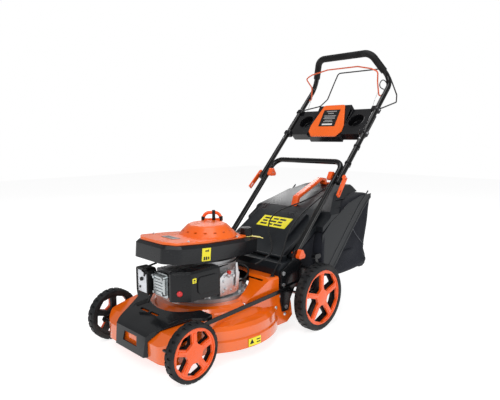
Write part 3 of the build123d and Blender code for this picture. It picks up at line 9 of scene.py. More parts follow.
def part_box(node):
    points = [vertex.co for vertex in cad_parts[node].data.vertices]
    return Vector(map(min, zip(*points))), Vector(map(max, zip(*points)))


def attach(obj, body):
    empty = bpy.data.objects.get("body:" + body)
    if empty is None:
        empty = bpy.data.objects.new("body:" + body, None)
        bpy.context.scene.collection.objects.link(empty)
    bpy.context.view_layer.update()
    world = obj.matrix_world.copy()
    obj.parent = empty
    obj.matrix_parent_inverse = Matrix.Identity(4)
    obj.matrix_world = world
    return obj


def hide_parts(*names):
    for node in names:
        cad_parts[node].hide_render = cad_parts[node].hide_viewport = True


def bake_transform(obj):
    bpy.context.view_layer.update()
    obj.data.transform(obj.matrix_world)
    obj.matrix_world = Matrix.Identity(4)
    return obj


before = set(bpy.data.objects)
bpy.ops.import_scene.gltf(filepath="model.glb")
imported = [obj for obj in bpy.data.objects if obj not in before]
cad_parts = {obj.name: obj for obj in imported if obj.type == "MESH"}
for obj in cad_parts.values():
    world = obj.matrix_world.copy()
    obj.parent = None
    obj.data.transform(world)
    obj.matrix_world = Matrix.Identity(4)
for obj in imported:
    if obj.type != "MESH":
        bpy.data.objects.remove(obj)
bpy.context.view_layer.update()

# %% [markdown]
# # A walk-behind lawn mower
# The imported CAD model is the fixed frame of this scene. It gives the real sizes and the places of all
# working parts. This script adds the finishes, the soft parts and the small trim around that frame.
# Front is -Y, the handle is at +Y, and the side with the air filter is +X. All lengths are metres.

MM = 0.001

# %% [markdown]
# ## Camera, floor and light
# The camera stands off the front corner of the air-filter side, 0.7 m above the floor. A soft key lamp
# stands in front, and weaker lamps at the side, behind and above keep the edges of black parts. The white
# world looks brighter to the camera than the light that it casts, so black parts stay dark on a white ground.

# %% Camera
camera_data = bpy.data.cameras.new("camera")
camera_data.sensor_width = 36.0
camera_data.lens = 34.67
camera = bpy.data.objects.new("camera", camera_data)
bpy.context.scene.collection.objects.link(camera)
aim = Euler((radians(90 - 7.528), 0.0, radians(44.749))).to_matrix() @ Matrix.Rotation(radians(-0.157), 3,
                                                                                       "Z")
camera.matrix_world = Matrix.Translation((1.2687, -1.3803, 0.7051)) @ aim.to_4x4()
bpy.context.scene.camera = camera
print("camera at", tuple(round(c, 3) for c in camera.matrix_world.translation), "lens", camera_data.lens)


# %% Lamps
def soft_lamp(name, place, aim_at, size, power):
    """A square area lamp that looks at a point."""
    data = bpy.data.lights.new(name, "AREA")
    data.energy = power
    data.size = size
    lamp = bpy.data.objects.new(name, data)
    bpy.context.scene.collection.objects.link(lamp)
    lamp.location = place
    lamp.rotation_euler = (Vector(aim_at) - Vector(place)).to_track_quat("-Z", "Y").to_euler()
    return lamp


MIDDLE = (0.0, -0.1, 0.35)
soft_lamp("key", (1.4, -2.4, 2.6), MIDDLE, 1.6, 46)
soft_lamp("side", (3.0, 0.3, 1.5), MIDDLE, 1.2, 20)
soft_lamp("back", (-2.4, 1.9, 2.2), MIDDLE, 1.2, 22)
soft_lamp("top", (0.1, 0.0, 3.2), MIDDLE, 1.6, 26)
world = bpy.data.worlds.new("studio")
world.use_nodes = True
backdrop = world.node_tree.nodes["Background"]
backdrop.inputs["Color"].default_value = (1.0, 1.0, 1.0, 1.0)
seen = world.node_tree.nodes.new("ShaderNodeLightPath").outputs["Is Camera Ray"]
brightness = world.node_tree.nodes.new("ShaderNodeMapRange")
brightness.inputs["To Min"].default_value = 0.38
brightness.inputs["To Max"].default_value = 1.0
world.node_tree.links.new(seen, brightness.inputs["Value"])
world.node_tree.links.new(brightness.outputs["Result"], backdrop.inputs["Strength"])
bpy.context.scene.world = world
bpy.context.scene.view_settings.view_transform = "Standard"
print("lamps", len(bpy.data.lights))


# %% [markdown]
# ## How finishes are built
# A finish is a tree of small pattern nodes that feeds one Principled shader. All patterns read Object
# coordinates, which are metres on this frame, so a noise scale of 400 means bumps about 2.5 mm wide.
# The Bevel node rounds the sharp CAD edges for the light, and comparing its normal with the true one
# finds the edges, where paint wears thin and plastic turns pale.

# %% Node helpers
def add_node(tree, kind, sockets=None, **settings):
    """A shader node with its settings and sockets filled in. A socket value may be a link."""
    made = tree.nodes.new("ShaderNode" + kind)
    for key, value in settings.items():
        setattr(made, key, value)
    for key, value in (sockets or {}).items():
        if isinstance(value, bpy.types.NodeSocket):
            tree.links.new(value, made.inputs[key])
        else:
            made.inputs[key].default_value = value
    return made


def new_finish(name, colour, rough, metal=0.0, coat=0.0):
    """A material whose even values sit on the shader's own sockets."""
    finish = bpy.data.materials.new(name)
    finish.use_nodes = True
    shader = finish.node_tree.nodes["Principled BSDF"]
    shader.inputs["Base Color"].default_value = (*colour, 1.0)
    shader.inputs["Roughness"].default_value = rough
    shader.inputs["Metallic"].default_value = metal
    shader.inputs["Coat Weight"].default_value = coat
    shader.inputs["Coat Roughness"].default_value = 0.08
    if metal == 0.0 and max(colour) < 0.012:
        # dark finishes keep a deep tone in a bright room
        shader.inputs["Specular IOR Level"].default_value = 0.26
        shader.inputs["Coat Weight"].default_value = 0.4 * coat
    return finish, finish.node_tree, shader


def grain(tree, scale, detail=3.0, stretch=(1, 1, 1)):
    """Noise on Object coordinates, drawn out along an axis where stretch is small."""
    where = add_node(tree, "TexCoord").outputs["Object"]
    turned = add_node(tree, "Mapping", {"Vector": where, "Scale": stretch})
    return add_node(tree, "TexNoise", {"Vector": turned.outputs[0], "Scale": scale,
                                       "Detail": detail}).outputs[0]


def spread(tree, value, low, high, source=(0.35, 0.65)):
    """Maps a pattern to a range."""
    sockets = {0: value, 1: source[0], 2: source[1], 3: low, 4: high}
    return add_node(tree, "MapRange", sockets).outputs[0]


def blend_colours(tree, factor, first, second):
    """A mix of two colours, each a tuple or a link."""
    mix = add_node(tree, "Mix", data_type="RGBA")
    tree.links.new(factor, mix.inputs[0])
    for place, colour in ((6, first), (7, second)):
        if isinstance(colour, bpy.types.NodeSocket):
            tree.links.new(colour, mix.inputs[place])
        else:
            mix.inputs[place].default_value = (*colour, 1.0)
    return mix.outputs[2]


def edges(tree, radius):
    """1 on a sharp edge and 0 on a flat, from how far a rounded normal leans."""
    rounded = add_node(tree, "Bevel", {"Radius": radius}, samples=4).outputs[0]
    true = add_node(tree, "NewGeometry").outputs["Normal"]
    lean = add_node(tree, "VectorMath", {0: rounded, 1: true}, operation="DOT_PRODUCT").outputs["Value"]
    return spread(tree, lean, 1.0, 0.0, (0.80, 0.985))


def relief(tree, shader, height, depth, strength=1.0, edge=1.2 * MM):
    """Bump from a height pattern, over edges that are rounded for the light."""
    rounded = add_node(tree, "Bevel", {"Radius": edge}, samples=4).outputs[0]
    bump = add_node(tree, "Bump", {"Strength": strength, "Distance": depth, "Height": height,
                                   "Normal": rounded})
    tree.links.new(bump.outputs[0], shader.inputs["Normal"])


# %% [markdown]
# ## Paints, plastics and metals
# Powder coat is glossy and has a fine orange-peel ripple. Moulded plastic has a spark-eroded grain and a
# broken, satin highlight. Zinc plate and cast metal are told apart by their streaks and pits. Each
# function below makes one family, so that pieces of one family differ only in colour, gloss and scale.

# %% Paint
def paint(name, colour, rough, coat=0.6, peel=260, wear=None):
    """Powder coat with orange peel, a little dust and edges that are worn or thin."""
    finish, tree, shader = new_finish(name, colour, rough, 0.0, coat)
    ripple = grain(tree, peel, 2.0)
    cloud = grain(tree, 7.0, 3.0)
    deep = tuple(c * 0.86 for c in colour)
    tone = blend_colours(tree, spread(tree, cloud, 0.0, 1.0), colour, deep)
    bare = wear or tuple(min(1.0, c * 1.25 + 0.03) for c in colour)
    broken = add_node(tree, "Math", {0: edges(tree, 1.0 * MM), 1: spread(tree, grain(tree, 90), 0.1, 0.8)},
                      operation="MULTIPLY").outputs[0]
    tone = blend_colours(tree, broken, tone, bare)
    tree.links.new(tone, shader.inputs["Base Color"])
    tree.links.new(spread(tree, cloud, rough * 0.85, rough * 1.25), shader.inputs["Roughness"])
    relief(tree, shader, ripple, 0.10 * MM, 0.5)
    return finish


# %% Plastic
def plastic(name, colour, rough, grain_scale=900, depth=0.12, coat=0.0, pale=1.5):
    """Moulded plastic with a fine eroded grain, faint flow marks and paler edges."""
    finish, tree, shader = new_finish(name, colour, rough, 0.0, coat)
    skin = grain(tree, grain_scale, 2.0)
    flow = grain(tree, 12.0, 4.0, (1.0, 0.35, 1.0))
    lighter = tuple(min(1.0, c * pale + 0.006) for c in colour)
    tone = blend_colours(tree, spread(tree, flow, 0.0, 0.55, (0.3, 0.7)), colour, lighter)
    tone = blend_colours(tree, spread(tree, edges(tree, 0.8 * MM), 0.0, 0.5, (0.0, 1.0)), tone, lighter)
    tree.links.new(tone, shader.inputs["Base Color"])
    tree.links.new(spread(tree, flow, rough * 0.82, rough * 1.2), shader.inputs["Roughness"])
    relief(tree, shader, skin, depth * MM, 0.6)
    return finish


# %% Metal
def metal(name, colour, rough, stretch=(1, 1, 1), scale=160, depth=0.08, mottle=0.75, shine=1.0):
    """Bare or plated metal: streaks or pits in both colour and gloss."""
    finish, tree, shader = new_finish(name, colour, rough, shine)
    marks = grain(tree, scale, 5.0, stretch)
    cloud = grain(tree, 22.0, 3.0)
    dull = tuple(c * mottle for c in colour)
    tone = blend_colours(tree, spread(tree, cloud, 0.0, 1.0, (0.3, 0.7)), colour, dull)
    tree.links.new(tone, shader.inputs["Base Color"])
    tree.links.new(spread(tree, marks, rough * 0.7, rough * 1.4, (0.3, 0.7)), shader.inputs["Roughness"])
    relief(tree, shader, marks, depth * MM, 0.6, 0.8 * MM)
    return finish


# %% Rubber and foam
def rubber(name, colour, rough, scale=300, depth=0.15, dust=(0.11, 0.10, 0.09), dusty=0.25):
    """Rubber or foam: matte, finely pitted, with a little pale dust in patches."""
    finish, tree, shader = new_finish(name, colour, rough)
    pits = grain(tree, scale, 4.0)
    patches = spread(tree, grain(tree, 26.0, 5.0), 0.0, dusty, (0.45, 0.75))
    tree.links.new(blend_colours(tree, patches, colour, dust), shader.inputs["Base Color"])
    tree.links.new(spread(tree, pits, rough * 0.88, min(1.0, rough * 1.12)), shader.inputs["Roughness"])
    relief(tree, shader, pits, depth * MM, 0.8, 1.0 * MM)
    return finish


# %% All plain finishes of the machine
deck_orange = paint("deck_orange_powder_coat", (0.88, 0.135, 0.003), 0.16, 0.8)
rim_orange = plastic("orange_moulded_plastic", (0.86, 0.098, 0.003), 0.30, 500, 0.05, 0.35, 1.15)
cowl_orange = plastic("orange_cowl_plastic", (0.86, 0.125, 0.003), 0.30, 700, 0.06, 0.25, 1.12)
rod_orange = paint("orange_rod_coating", (0.72, 0.10, 0.02), 0.35, 0.3, 600)
slate = plastic("slate_grained_plastic", (0.0075, 0.0092, 0.0115), 0.33, 800, 0.16, 0.0, 1.9)
nose_black = plastic("nose_black_plastic", (0.006, 0.0068, 0.008), 0.18, 700, 0.05, 0.3, 1.8)
cowl_black = plastic("cowl_satin_plastic", (0.006, 0.0066, 0.008), 0.24, 900, 0.06, 0.2, 1.9)
filter_black = plastic("filter_box_plastic", (0.0055, 0.006, 0.007), 0.28, 700, 0.10, 0.1, 2.0)
console_black = plastic("console_gloss_plastic", (0.004, 0.004, 0.0052), 0.18, 600, 0.04, 0.4, 1.8)
tube_black = paint("black_tube_coat", (0.003, 0.003, 0.0034), 0.20, 0.5, 420, (0.05, 0.05, 0.052))
bracket_black = paint("black_bracket_coat", (0.0045, 0.005, 0.006), 0.25, 0.4, 380, (0.12, 0.12, 0.12))
guard_black = paint("black_heat_enamel", (0.005, 0.005, 0.005), 0.45, 0.0, 500, (0.10, 0.09, 0.08))
zinc = metal("zinc_plate", (0.72, 0.73, 0.75), 0.32, (1, 1, 6), 220, 0.03)
steel = metal("turned_steel", (0.56, 0.57, 0.58), 0.28, (9, 1, 1), 160, 0.03)
cast = metal("cast_aluminium_skin", (0.58, 0.59, 0.60), 0.48, (1, 1, 1), 420, 0.20, 0.7, 0.85)
rocker = metal("rocker_cover_silver", (0.60, 0.64, 0.65), 0.26, (1, 1, 1), 120, 0.08, 0.55)
shield = metal("heat_shield_silver", (0.78, 0.80, 0.84), 0.36, (1, 1, 4), 150, 0.05, 0.85, 0.7)
iron = metal("machined_iron", (0.24, 0.24, 0.25), 0.42, (1, 1, 1), 260, 0.1)
blade_paint = paint("blade_black_paint", (0.02, 0.02, 0.022), 0.38, 0.1, 300, (0.55, 0.55, 0.56))
tyre_rubber = rubber("tyre_rubber", (0.008, 0.009, 0.0105), 0.60, 260, 0.2)
grip_foam = rubber("grip_foam", (0.004, 0.004, 0.0045), 0.62, 900, 0.25, (0.03, 0.03, 0.03), 0.4)
belt_rubber = rubber("belt_rubber", (0.02, 0.02, 0.02), 0.75, 500, 0.1)
sheath = rubber("cable_sheath", (0.004, 0.004, 0.0045), 0.38, 700, 0.04, (0.03, 0.03, 0.03), 0.3)
bulb_red = rubber("primer_red_rubber", (0.62, 0.03, 0.035), 0.34, 500, 0.05, (0.7, 0.15, 0.15), 0.3)
knob_red = plastic("red_knob_plastic", (0.50, 0.03, 0.02), 0.35, 700, 0.05)
label_yellow = paint("yellow_label_film", (0.95, 0.83, 0.0), 0.32, 0.3, 900)
label_black = paint("black_label_print", (0.010, 0.010, 0.010), 0.38, 0.2, 900)
label_grey = paint("grey_label_print", (0.34, 0.34, 0.34), 0.38, 0.2, 900)
label_white = paint("white_label_print", (0.80, 0.80, 0.78), 0.36, 0.2, 900)
tag_yellow = plastic("pale_yellow_tether", (0.86, 0.74, 0.22), 0.45, 500, 0.08, 0.0, 1.1)
print("finishes", len(bpy.data.materials))

# %% [markdown]
# ## Finishes on the CAD nodes
# Every CAD node keeps its shape and only changes its material slot. A table of node and finish is the
# quickest way to see that none is forgotten, and the loop at the end stops on a missing name.

# %% Which node has which finish
finish_of = {
    "deck": deck_orange, "front_cover": nose_black, "handle_brackets": bracket_black, "rear_chute": slate,
    "deck_bolts": zinc, "engine_block": cast, "cylinder_head": rocker, "blower_housing": cowl_black,
    "top_cover": cowl_orange, "muffler": shield, "muffler_guard": guard_black, "airbox_cover": filter_black,
    "primer_bulb": bulb_red, "carburettor": cast, "control_plate": zinc, "governor_arm": zinc,
    "fuel_tank": filter_black, "fuel_cap": filter_black, "starter_handle": rim_orange, "crankshaft": steel,
    "flywheel": cast, "blade_adapter": iron, "blade": blade_paint, "blade_bolt": zinc, "gearbox": cast,
    "gearbox_pulley": steel, "drive_shaft": steel, "drive_belt": belt_rubber, "front_axle": bracket_black,
    "rear_axle": bracket_black, "height_lever": bracket_black, "link_bar": tube_black,
    "lower_handle": tube_black, "upper_handle": tube_black, "grip": grip_foam, "clamp_bolts": zinc,
    "console": console_black, "console_panel": cowl_orange, "brake_bail": rod_orange,
    "drive_bail": tube_black, "rear_flap": slate, "bag_lid": slate, "bag_handle": rim_orange,
    "bag_cloth": slate, "brake_cable": sheath, "drive_cable": sheath,
}
for side in ("left", "right"):
    for end in ("front", "rear"):
        finish_of[f"{end}_wheel_{side}"] = tyre_rubber
        finish_of[f"{end}_wheel_cover_{side}"] = rim_orange
    finish_of[f"cam_lever_{side}"] = rim_orange
    finish_of[f"clamp_knob_{side}"] = rim_orange
    finish_of[f"lower_knob_{side}"] = rim_orange
for node, cad_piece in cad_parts.items():
    cad_piece.data.materials.clear()
    cad_piece.data.materials.append(finish_of[node])
print("CAD nodes finished", len(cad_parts))

# %% [markdown]
# ## Control cables
# Each control cable is a fixed length of stiff sheathed wire that bows forward from the handle joint and
# dives into the machine. A NURBS curve with a few given points gives the even bends that a real
# sheath takes; a chain of straight cylinders would show kinks.

# %% Points along the handle
RAKE = radians(47.0)
LOWER_LENGTH = 0.362
knob_bolt = Vector((0.0, -0.050, 0.282))
joint = knob_bolt + Vector((0.0, cos(RAKE), sin(RAKE))) * LOWER_LENGTH
UPPER_X = 0.2035


def on_handle(x, distance, front=0.0):
    """A point at x, a distance up the handle from the joint and in front of its plane, in metres."""
    along = Vector((0.0, cos(RAKE), sin(RAKE)))
    out = Vector((0.0, -sin(RAKE), cos(RAKE)))
    return Vector((x, joint.y, joint.z)) + along * distance + out * front


# %% A smooth wire through given points
def smooth_wire(name, points, diameter, finish, body, order=3):
    """A NURBS curve that uses the points as its control points."""
    data = bpy.data.curves.new(name, "CURVE")
    data.dimensions = "3D"
    data.bevel_depth = diameter / 2
    data.bevel_resolution = 4
    data.resolution_u = 10
    data.use_fill_caps = True
    spline = data.splines.new("NURBS")
    spline.points.add(len(points) - 1)
    for point, place in zip(spline.points, points):
        point.co = (*place, 1.0)
    spline.use_endpoint_u = True
    spline.order_u = order
    data.materials.append(finish)
    wire = bpy.data.objects.new(name, data)
    bpy.context.scene.collection.objects.link(wire)
    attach(wire, body)
    print(name, len(points), "points")
    return wire


CABLE_D = 0.005
brake_route = [
    on_handle(0.160, -0.012, -0.030),
    (0.148, 0.165, 0.500),
    (0.128, 0.120, 0.470),
    (0.096, 0.070, 0.446),
    (0.060, 0.020, 0.428),
    (0.040, -0.030, 0.398),
    (0.066, -0.074, 0.356),
    (0.112, -0.104, 0.330),
    (0.150, -0.140, 0.300),
    (0.158, -0.186, 0.282),
    (0.146, -0.226, 0.270),
]
drive_route = [
    on_handle(0.160, -0.026, -0.028),
    (0.150, 0.148, 0.470),
    (0.132, 0.108, 0.440),
    (0.122, 0.060, 0.410),
    (0.124, 0.010, 0.380),
    (0.136, -0.040, 0.346),
    (0.158, -0.084, 0.312),
    (0.176, -0.122, 0.276),
    (0.176, -0.150, 0.250),
    (0.172, -0.164, 0.222),
]


# %% Centre line of a wire
def centre_line(wire):
    """Points along a curve's own line, from a copy with no thickness."""
    bare = wire.data.copy()
    bare.bevel_depth = 0.0
    probe = bpy.data.objects.new("probe", bare)
    bpy.context.scene.collection.objects.link(probe)
    line = bpy.data.meshes.new_from_object(probe)
    points = [vert.co.copy() for vert in line.vertices]
    bpy.data.objects.remove(probe)
    return points


def wire_length(wire):
    """Length of a curve's own line."""
    points = centre_line(wire)
    return sum((b - a).length for a, b in zip(points, points[1:]))


# %% The two cables
for name, route in (("brake", brake_route), ("drive", drive_route)):
    wire = smooth_wire(f"{name}_cable_line", route, CABLE_D, sheath, "chassis")
    line = centre_line(wire)
    length = wire_length(wire)
    cable = bpy.data.objects.new(f"{name}_cable_sheath", bpy.data.meshes.new_from_object(wire))
    bpy.context.scene.collection.objects.link(cable)
    bpy.data.objects.remove(wire)
    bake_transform(cable)
    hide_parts(f"{name}_cable")
    print(name, "cable", round(length, 3))

# %% [markdown]
# ## Drive belt
# The belt runs from the crank pulley to the gearbox, which tips with the rear axle. The CAD loop is cut
# into short stretches.

# %% The drive belt
belt_mesh = bpy.data.meshes.new("drive_belt_loop")
bm = bmesh.new()
bm.from_mesh(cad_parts["drive_belt"].data)
bmesh.ops.remove_doubles(bm, verts=bm.verts, dist=0.02 * MM)
bmesh.ops.triangulate(bm, faces=bm.faces)
for cut in range(1, 8):
    loose = list(bm.verts) + list(bm.edges) + list(bm.faces)
    bmesh.ops.bisect_plane(bm, geom=loose, plane_co=(0, -0.32 + cut * 0.04, 0), plane_no=(0, 1, 0))
bmesh.ops.recalc_face_normals(bm, faces=bm.faces)
bm.to_mesh(belt_mesh)
bm.free()
belt_mesh.materials.append(belt_rubber)
belt = bpy.data.objects.new("drive_belt_loop", belt_mesh)
bpy.context.scene.collection.objects.link(belt)
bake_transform(belt)
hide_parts("drive_belt")
print("belt faces", len(belt_mesh.polygons))

# %% [markdown]
# ## Shared modelling tools
# Small trim repeats a few shapes: a box set at any angle, a round bar between two points, a turned form,
# and a flat label. Each tool works on a bmesh, so that one piece can join many shapes and materials
# before it becomes a single object whose place is in its mesh.


# %% Boxes, bars and turned forms
def axes_matrix(centre, right, up, size=(1, 1, 1)):
    """A matrix that sizes and turns a unit shape: its x runs along right and its y along up."""
    right = Vector(right).normalized()
    normal = right.cross(Vector(up)).normalized()
    up = normal.cross(right)
    turn = Matrix((right, up, normal)).transposed().to_4x4()
    return Matrix.Translation(centre) @ turn @ Matrix.Diagonal((*size, 1))


def paint_faces(bm, before, index):
    """Gives every face made since before a material index."""
    for face in bm.faces:
        if face not in before:
            face.material_index = index


def add_box(bm, centre, right, up, size, soft=0.0, index=0):
    """A box with softened edges."""
    before = set(bm.faces)
    made = bmesh.ops.create_cube(bm, size=1.0, matrix=axes_matrix(centre, right, up, size))
    if soft:
        rims = list({edge for vert in made["verts"] for edge in vert.link_edges})
        bmesh.ops.bevel(bm, geom=rims, offset=soft, affect="EDGES", segments=3, profile=0.5, material=-1)
    paint_faces(bm, before, index)


def add_bar(bm, start, end, radius, sides=20, index=0, end_radius=None, soft=0.0):
    """A round bar or cone between two points."""
    before = set(bm.faces)
    start, end = Vector(start), Vector(end)
    turn = (end - start).to_track_quat("Z", "Y").to_matrix().to_4x4()
    place = Matrix.Translation((start + end) / 2) @ turn
    tip = radius if end_radius is None else end_radius
    made = bmesh.ops.create_cone(bm, cap_ends=True, segments=sides, radius1=radius, radius2=tip,
                                 depth=(end - start).length, matrix=place)
    if soft:
        caps = [f for f in {f for v in made["verts"] for f in v.link_faces} if len(f.verts) == sides]
        rims = list({edge for cap in caps for edge in cap.edges})
        bmesh.ops.bevel(bm, geom=rims, offset=soft, affect="EDGES", segments=3, profile=0.5, material=-1)
    paint_faces(bm, before, index)


def add_turned(bm, centre, axis, profile, steps=48, index=0):
    """A solid of revolution. The profile lists (distance along the axis, radius), both ends on the axis."""
    before = set(bm.faces)
    axis = Vector(axis).normalized()
    side = axis.orthogonal().normalized()
    line = [bm.verts.new(Vector(centre) + axis * along + side * radius) for along, radius in profile]
    rim = [bm.edges.new(pair) for pair in zip(line, line[1:])]
    bmesh.ops.spin(bm, geom=line + rim, cent=centre, axis=axis, angle=2 * math.pi, steps=steps,
                   use_merge=True)
    fresh = [v for v in bm.verts if v.is_valid]
    bmesh.ops.remove_doubles(bm, verts=fresh, dist=1e-6)
    paint_faces(bm, before, index)


def add_hex(bm, centre, axis, width, height, index=0):
    """A hexagon bolt head on a washer."""
    centre, axis = Vector(centre), Vector(axis).normalized()
    add_bar(bm, centre, centre + axis * height * 0.22, width * 0.72, 24, index)
    add_bar(bm, centre + axis * height * 0.22, centre + axis * height, width * 0.5, 6, index,
            soft=width * 0.06)


def finish_piece(name, bm, finishes, body, smooth_angle=35):
    """Turns a bmesh into an object that rides on a body."""
    bmesh.ops.recalc_face_normals(bm, faces=bm.faces)
    mesh = bpy.data.meshes.new(name)
    for face in bm.faces:
        face.smooth = True
    for edge in bm.edges:
        if len(edge.link_faces) == 2 and edge.calc_face_angle(0.0) > radians(smooth_angle):
            edge.smooth = False
    bm.to_mesh(mesh)
    bm.free()
    for finish in finishes if isinstance(finishes, (list, tuple)) else [finishes]:
        mesh.materials.append(finish)
    piece = bpy.data.objects.new(name, mesh)
    bpy.context.scene.collection.objects.link(piece)
    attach(piece, body)
    print(name, len(mesh.polygons), "faces")
    return piece


# %% Labels
def add_label(bm, centre, right, up, width, height, bars, face_index=0, ink_index=1, thick=0.5 * MM):
    """A film label with plain printed bars. Each bar is (u, v, length, height) in shares of the label."""
    right, up = Vector(right).normalized(), Vector(up).normalized()
    normal = right.cross(up).normalized()
    up = normal.cross(right)
    centre = Vector(centre) + normal * thick / 2
    add_box(bm, centre, right, up, (width, height, thick), 0.0, face_index)
    for u, v, long, tall in bars:
        place = centre + right * u * width + up * v * height + normal * thick * 0.6
        add_box(bm, place, right, up, (long * width, tall * height, thick * 0.3), 0.0, ink_index)


WORD_SHARES = [(0.34, 0.24, 0.28), (0.22, 0.36, 0.20), (0.30, 0.20, 0.36), (0.18, 0.30, 0.26)]


def text_lines(rows, width=0.8, tall=0.10, gap=0.22, top=0.3, words=3):
    """Bars that stand for rows of words."""
    bars = []
    for row in range(rows):
        shares = WORD_SHARES[row % len(WORD_SHARES)]
        at = -width / 2
        for share in shares[:words]:
            long = share * width * 0.9
            bars.append((at + long / 2, top - row * gap, long, tall))
            at += share * width + 0.03
    return bars


EX, EY, EZ = Vector((1, 0, 0)), Vector((0, 1, 0)), Vector((0, 0, 1))
UP_HANDLE = Vector((0.0, cos(RAKE), sin(RAKE)))
OUT_HANDLE = Vector((0.0, -sin(RAKE), cos(RAKE)))

# %% [markdown]
# ## Floor
# The floor is one large sheet of pale paper. It gives off some light of its own, so that it stays nearly
# white and takes only a soft shadow.

# %% Floor
bm = bmesh.new()
bmesh.ops.create_grid(bm, x_segments=1, y_segments=1, size=7.0)
floor_mesh = bpy.data.meshes.new("floor")
bm.to_mesh(floor_mesh)
bm.free()
paper, tree, shader = new_finish("floor_paper", (0.42, 0.42, 0.42), 0.9)
shader.inputs["Specular IOR Level"].default_value = 0.0
shader.inputs["Emission Color"].default_value = (1.0, 1.0, 1.0, 1.0)
shader.inputs["Emission Strength"].default_value = 0.80
floor_mesh.materials.append(paper)
floor = bpy.data.objects.new("floor", floor_mesh)
bpy.context.scene.collection.objects.link(floor)
print("floor", floor.dimensions.x, "m wide")

# %% [markdown]
# ## Softened shells
# Moulded covers have no razor edges. The CAD solids are sharp, so a copy of the mesh is merged, its flat
# triangles are joined back to whole faces, and a Bevel modifier rounds every edge that turns sharply.
# The copy then stands for the CAD node, which stays behind for collision, hidden.


# %% A rounded copy of a CAD node
def softened(node, radius, finish, body, segments=3, angle=28):
    """A copy of a CAD node with rounded edges, which replaces it."""
    bm = bmesh.new()
    bm.from_mesh(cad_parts[node].data)
    bmesh.ops.remove_doubles(bm, verts=bm.verts, dist=0.02 * MM)
    bmesh.ops.dissolve_limit(bm, angle_limit=radians(1.2), verts=bm.verts, edges=bm.edges)
    shell = finish_piece(f"{node}_shell", bm, finish, body, 50)
    rounding = shell.modifiers.new("rounding", "BEVEL")
    rounding.width = radius
    rounding.segments = segments
    rounding.limit_method = "ANGLE"
    rounding.angle_limit = radians(angle)
    rounding.harden_normals = True
    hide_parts(node)
    return shell


softened("bag_lid", 5 * MM, slate, "grass_bag")
softened("bag_handle", 4 * MM, rim_orange, "grass_bag")
softened("rear_flap", 3 * MM, slate, "flap")
softened("console", 5 * MM, console_black, "upper_bars")
softened("airbox_cover", 3 * MM, filter_black, "chassis")
softened("front_cover", 2.0 * MM, nose_black, "chassis")

# %% [markdown]
# ## Grass bag
# The bag is woven polyester over a wire frame. Its top edge is clipped to the lid, the sides bow in
# between the wires, the rear panel is drawn in above the stiff floor, and a grey taped crease crosses each
# side. The side outline is drawn once and pushed across the width in steps that bulge a little in the
# middle, which is a loft. Slow noise then gives the slack folds, in place of a cloth simulation.

# %% Bag fabric
fabric, tree, shader = new_finish("bag_woven_polyester", (0.004, 0.005, 0.009), 0.80)
shader.inputs["Sheen Weight"].default_value = 0.06
shader.inputs["Sheen Roughness"].default_value = 0.5
where = add_node(tree, "TexCoord").outputs["Object"]
weave = []
for turn in ("Y", "Z"):
    threads = add_node(tree, "TexWave", {"Vector": where, "Scale": 210.0, "Distortion": 0.6, "Detail": 1.0},
                       bands_direction=turn)
    weave.append(threads.outputs["Fac"])
crossed = add_node(tree, "Math", {0: weave[0], 1: weave[1]}, operation="MULTIPLY").outputs[0]
slack = grain(tree, 9.0, 4.0)
tone = blend_colours(tree, spread(tree, slack, 0.0, 1.0, (0.3, 0.7)), (0.003, 0.004, 0.008),
                     (0.009, 0.011, 0.018))
tone = blend_colours(tree, spread(tree, crossed, 0.0, 0.45, (0.1, 0.9)), tone, (0.018, 0.020, 0.028))
tree.links.new(tone, shader.inputs["Base Color"])
relief(tree, shader, crossed, 0.25 * MM, 0.7)
piping = rubber("grey_piping_tape", (0.085, 0.09, 0.10), 0.6, 900, 0.1, (0.16, 0.16, 0.17), 0.4)

# %% Outline of the bag's side
bag_low, bag_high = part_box("bag_cloth")
neck_half = 0.162
bag_half = bag_high.x - 2 * MM
BACK = bag_high.y
side_outline = [
    (0.092, 0.335), (0.150, 0.378), (0.265, 0.436), (0.360, 0.459), (BACK - 0.004, 0.462),
    (BACK - 0.008, 0.400), (BACK - 0.016, 0.330), (BACK - 0.031, 0.255), (BACK - 0.029, 0.205),
    (BACK - 0.012, 0.176), (BACK - 0.040, 0.160), (0.320, 0.152), (0.222, 0.150), (0.150, 0.160),
    (0.092, 0.172),
]


def bag_loft(outline, half, steps, bulge):
    """Pushes a side outline across the width in steps, which bulge outwards between the two sides."""
    bm = bmesh.new()
    ring = [bm.verts.new((-half, y, z)) for y, z in outline]
    face = bm.faces.new(ring)
    middle = sum((v.co for v in ring), Vector()) / len(ring)
    for _ in range(steps):
        made = bmesh.ops.extrude_face_region(bm, geom=[face])
        moved = [v for v in made["geom"] if isinstance(v, bmesh.types.BMVert)]
        bmesh.ops.translate(bm, verts=moved, vec=(2 * half / steps, 0, 0))
        face = next(f for f in made["geom"] if isinstance(f, bmesh.types.BMFace))
    outlines = [f for f in bm.faces if len(f.verts) == len(outline)]
    inner = [f for f in outlines if abs(abs(f.calc_center_median().x) - half) > 1e-4]
    bmesh.ops.delete(bm, geom=inner, context="FACES_ONLY")
    for vert in bm.verts:
        bow = bulge * (1 - (vert.co.x / half) ** 4)
        toward = Vector((0.0, middle.y - vert.co.y, middle.z - vert.co.z))
        vert.co -= toward.normalized() * bow * (0.25 if vert.co.z > middle.z + 0.06 else 1.0)
    return bm


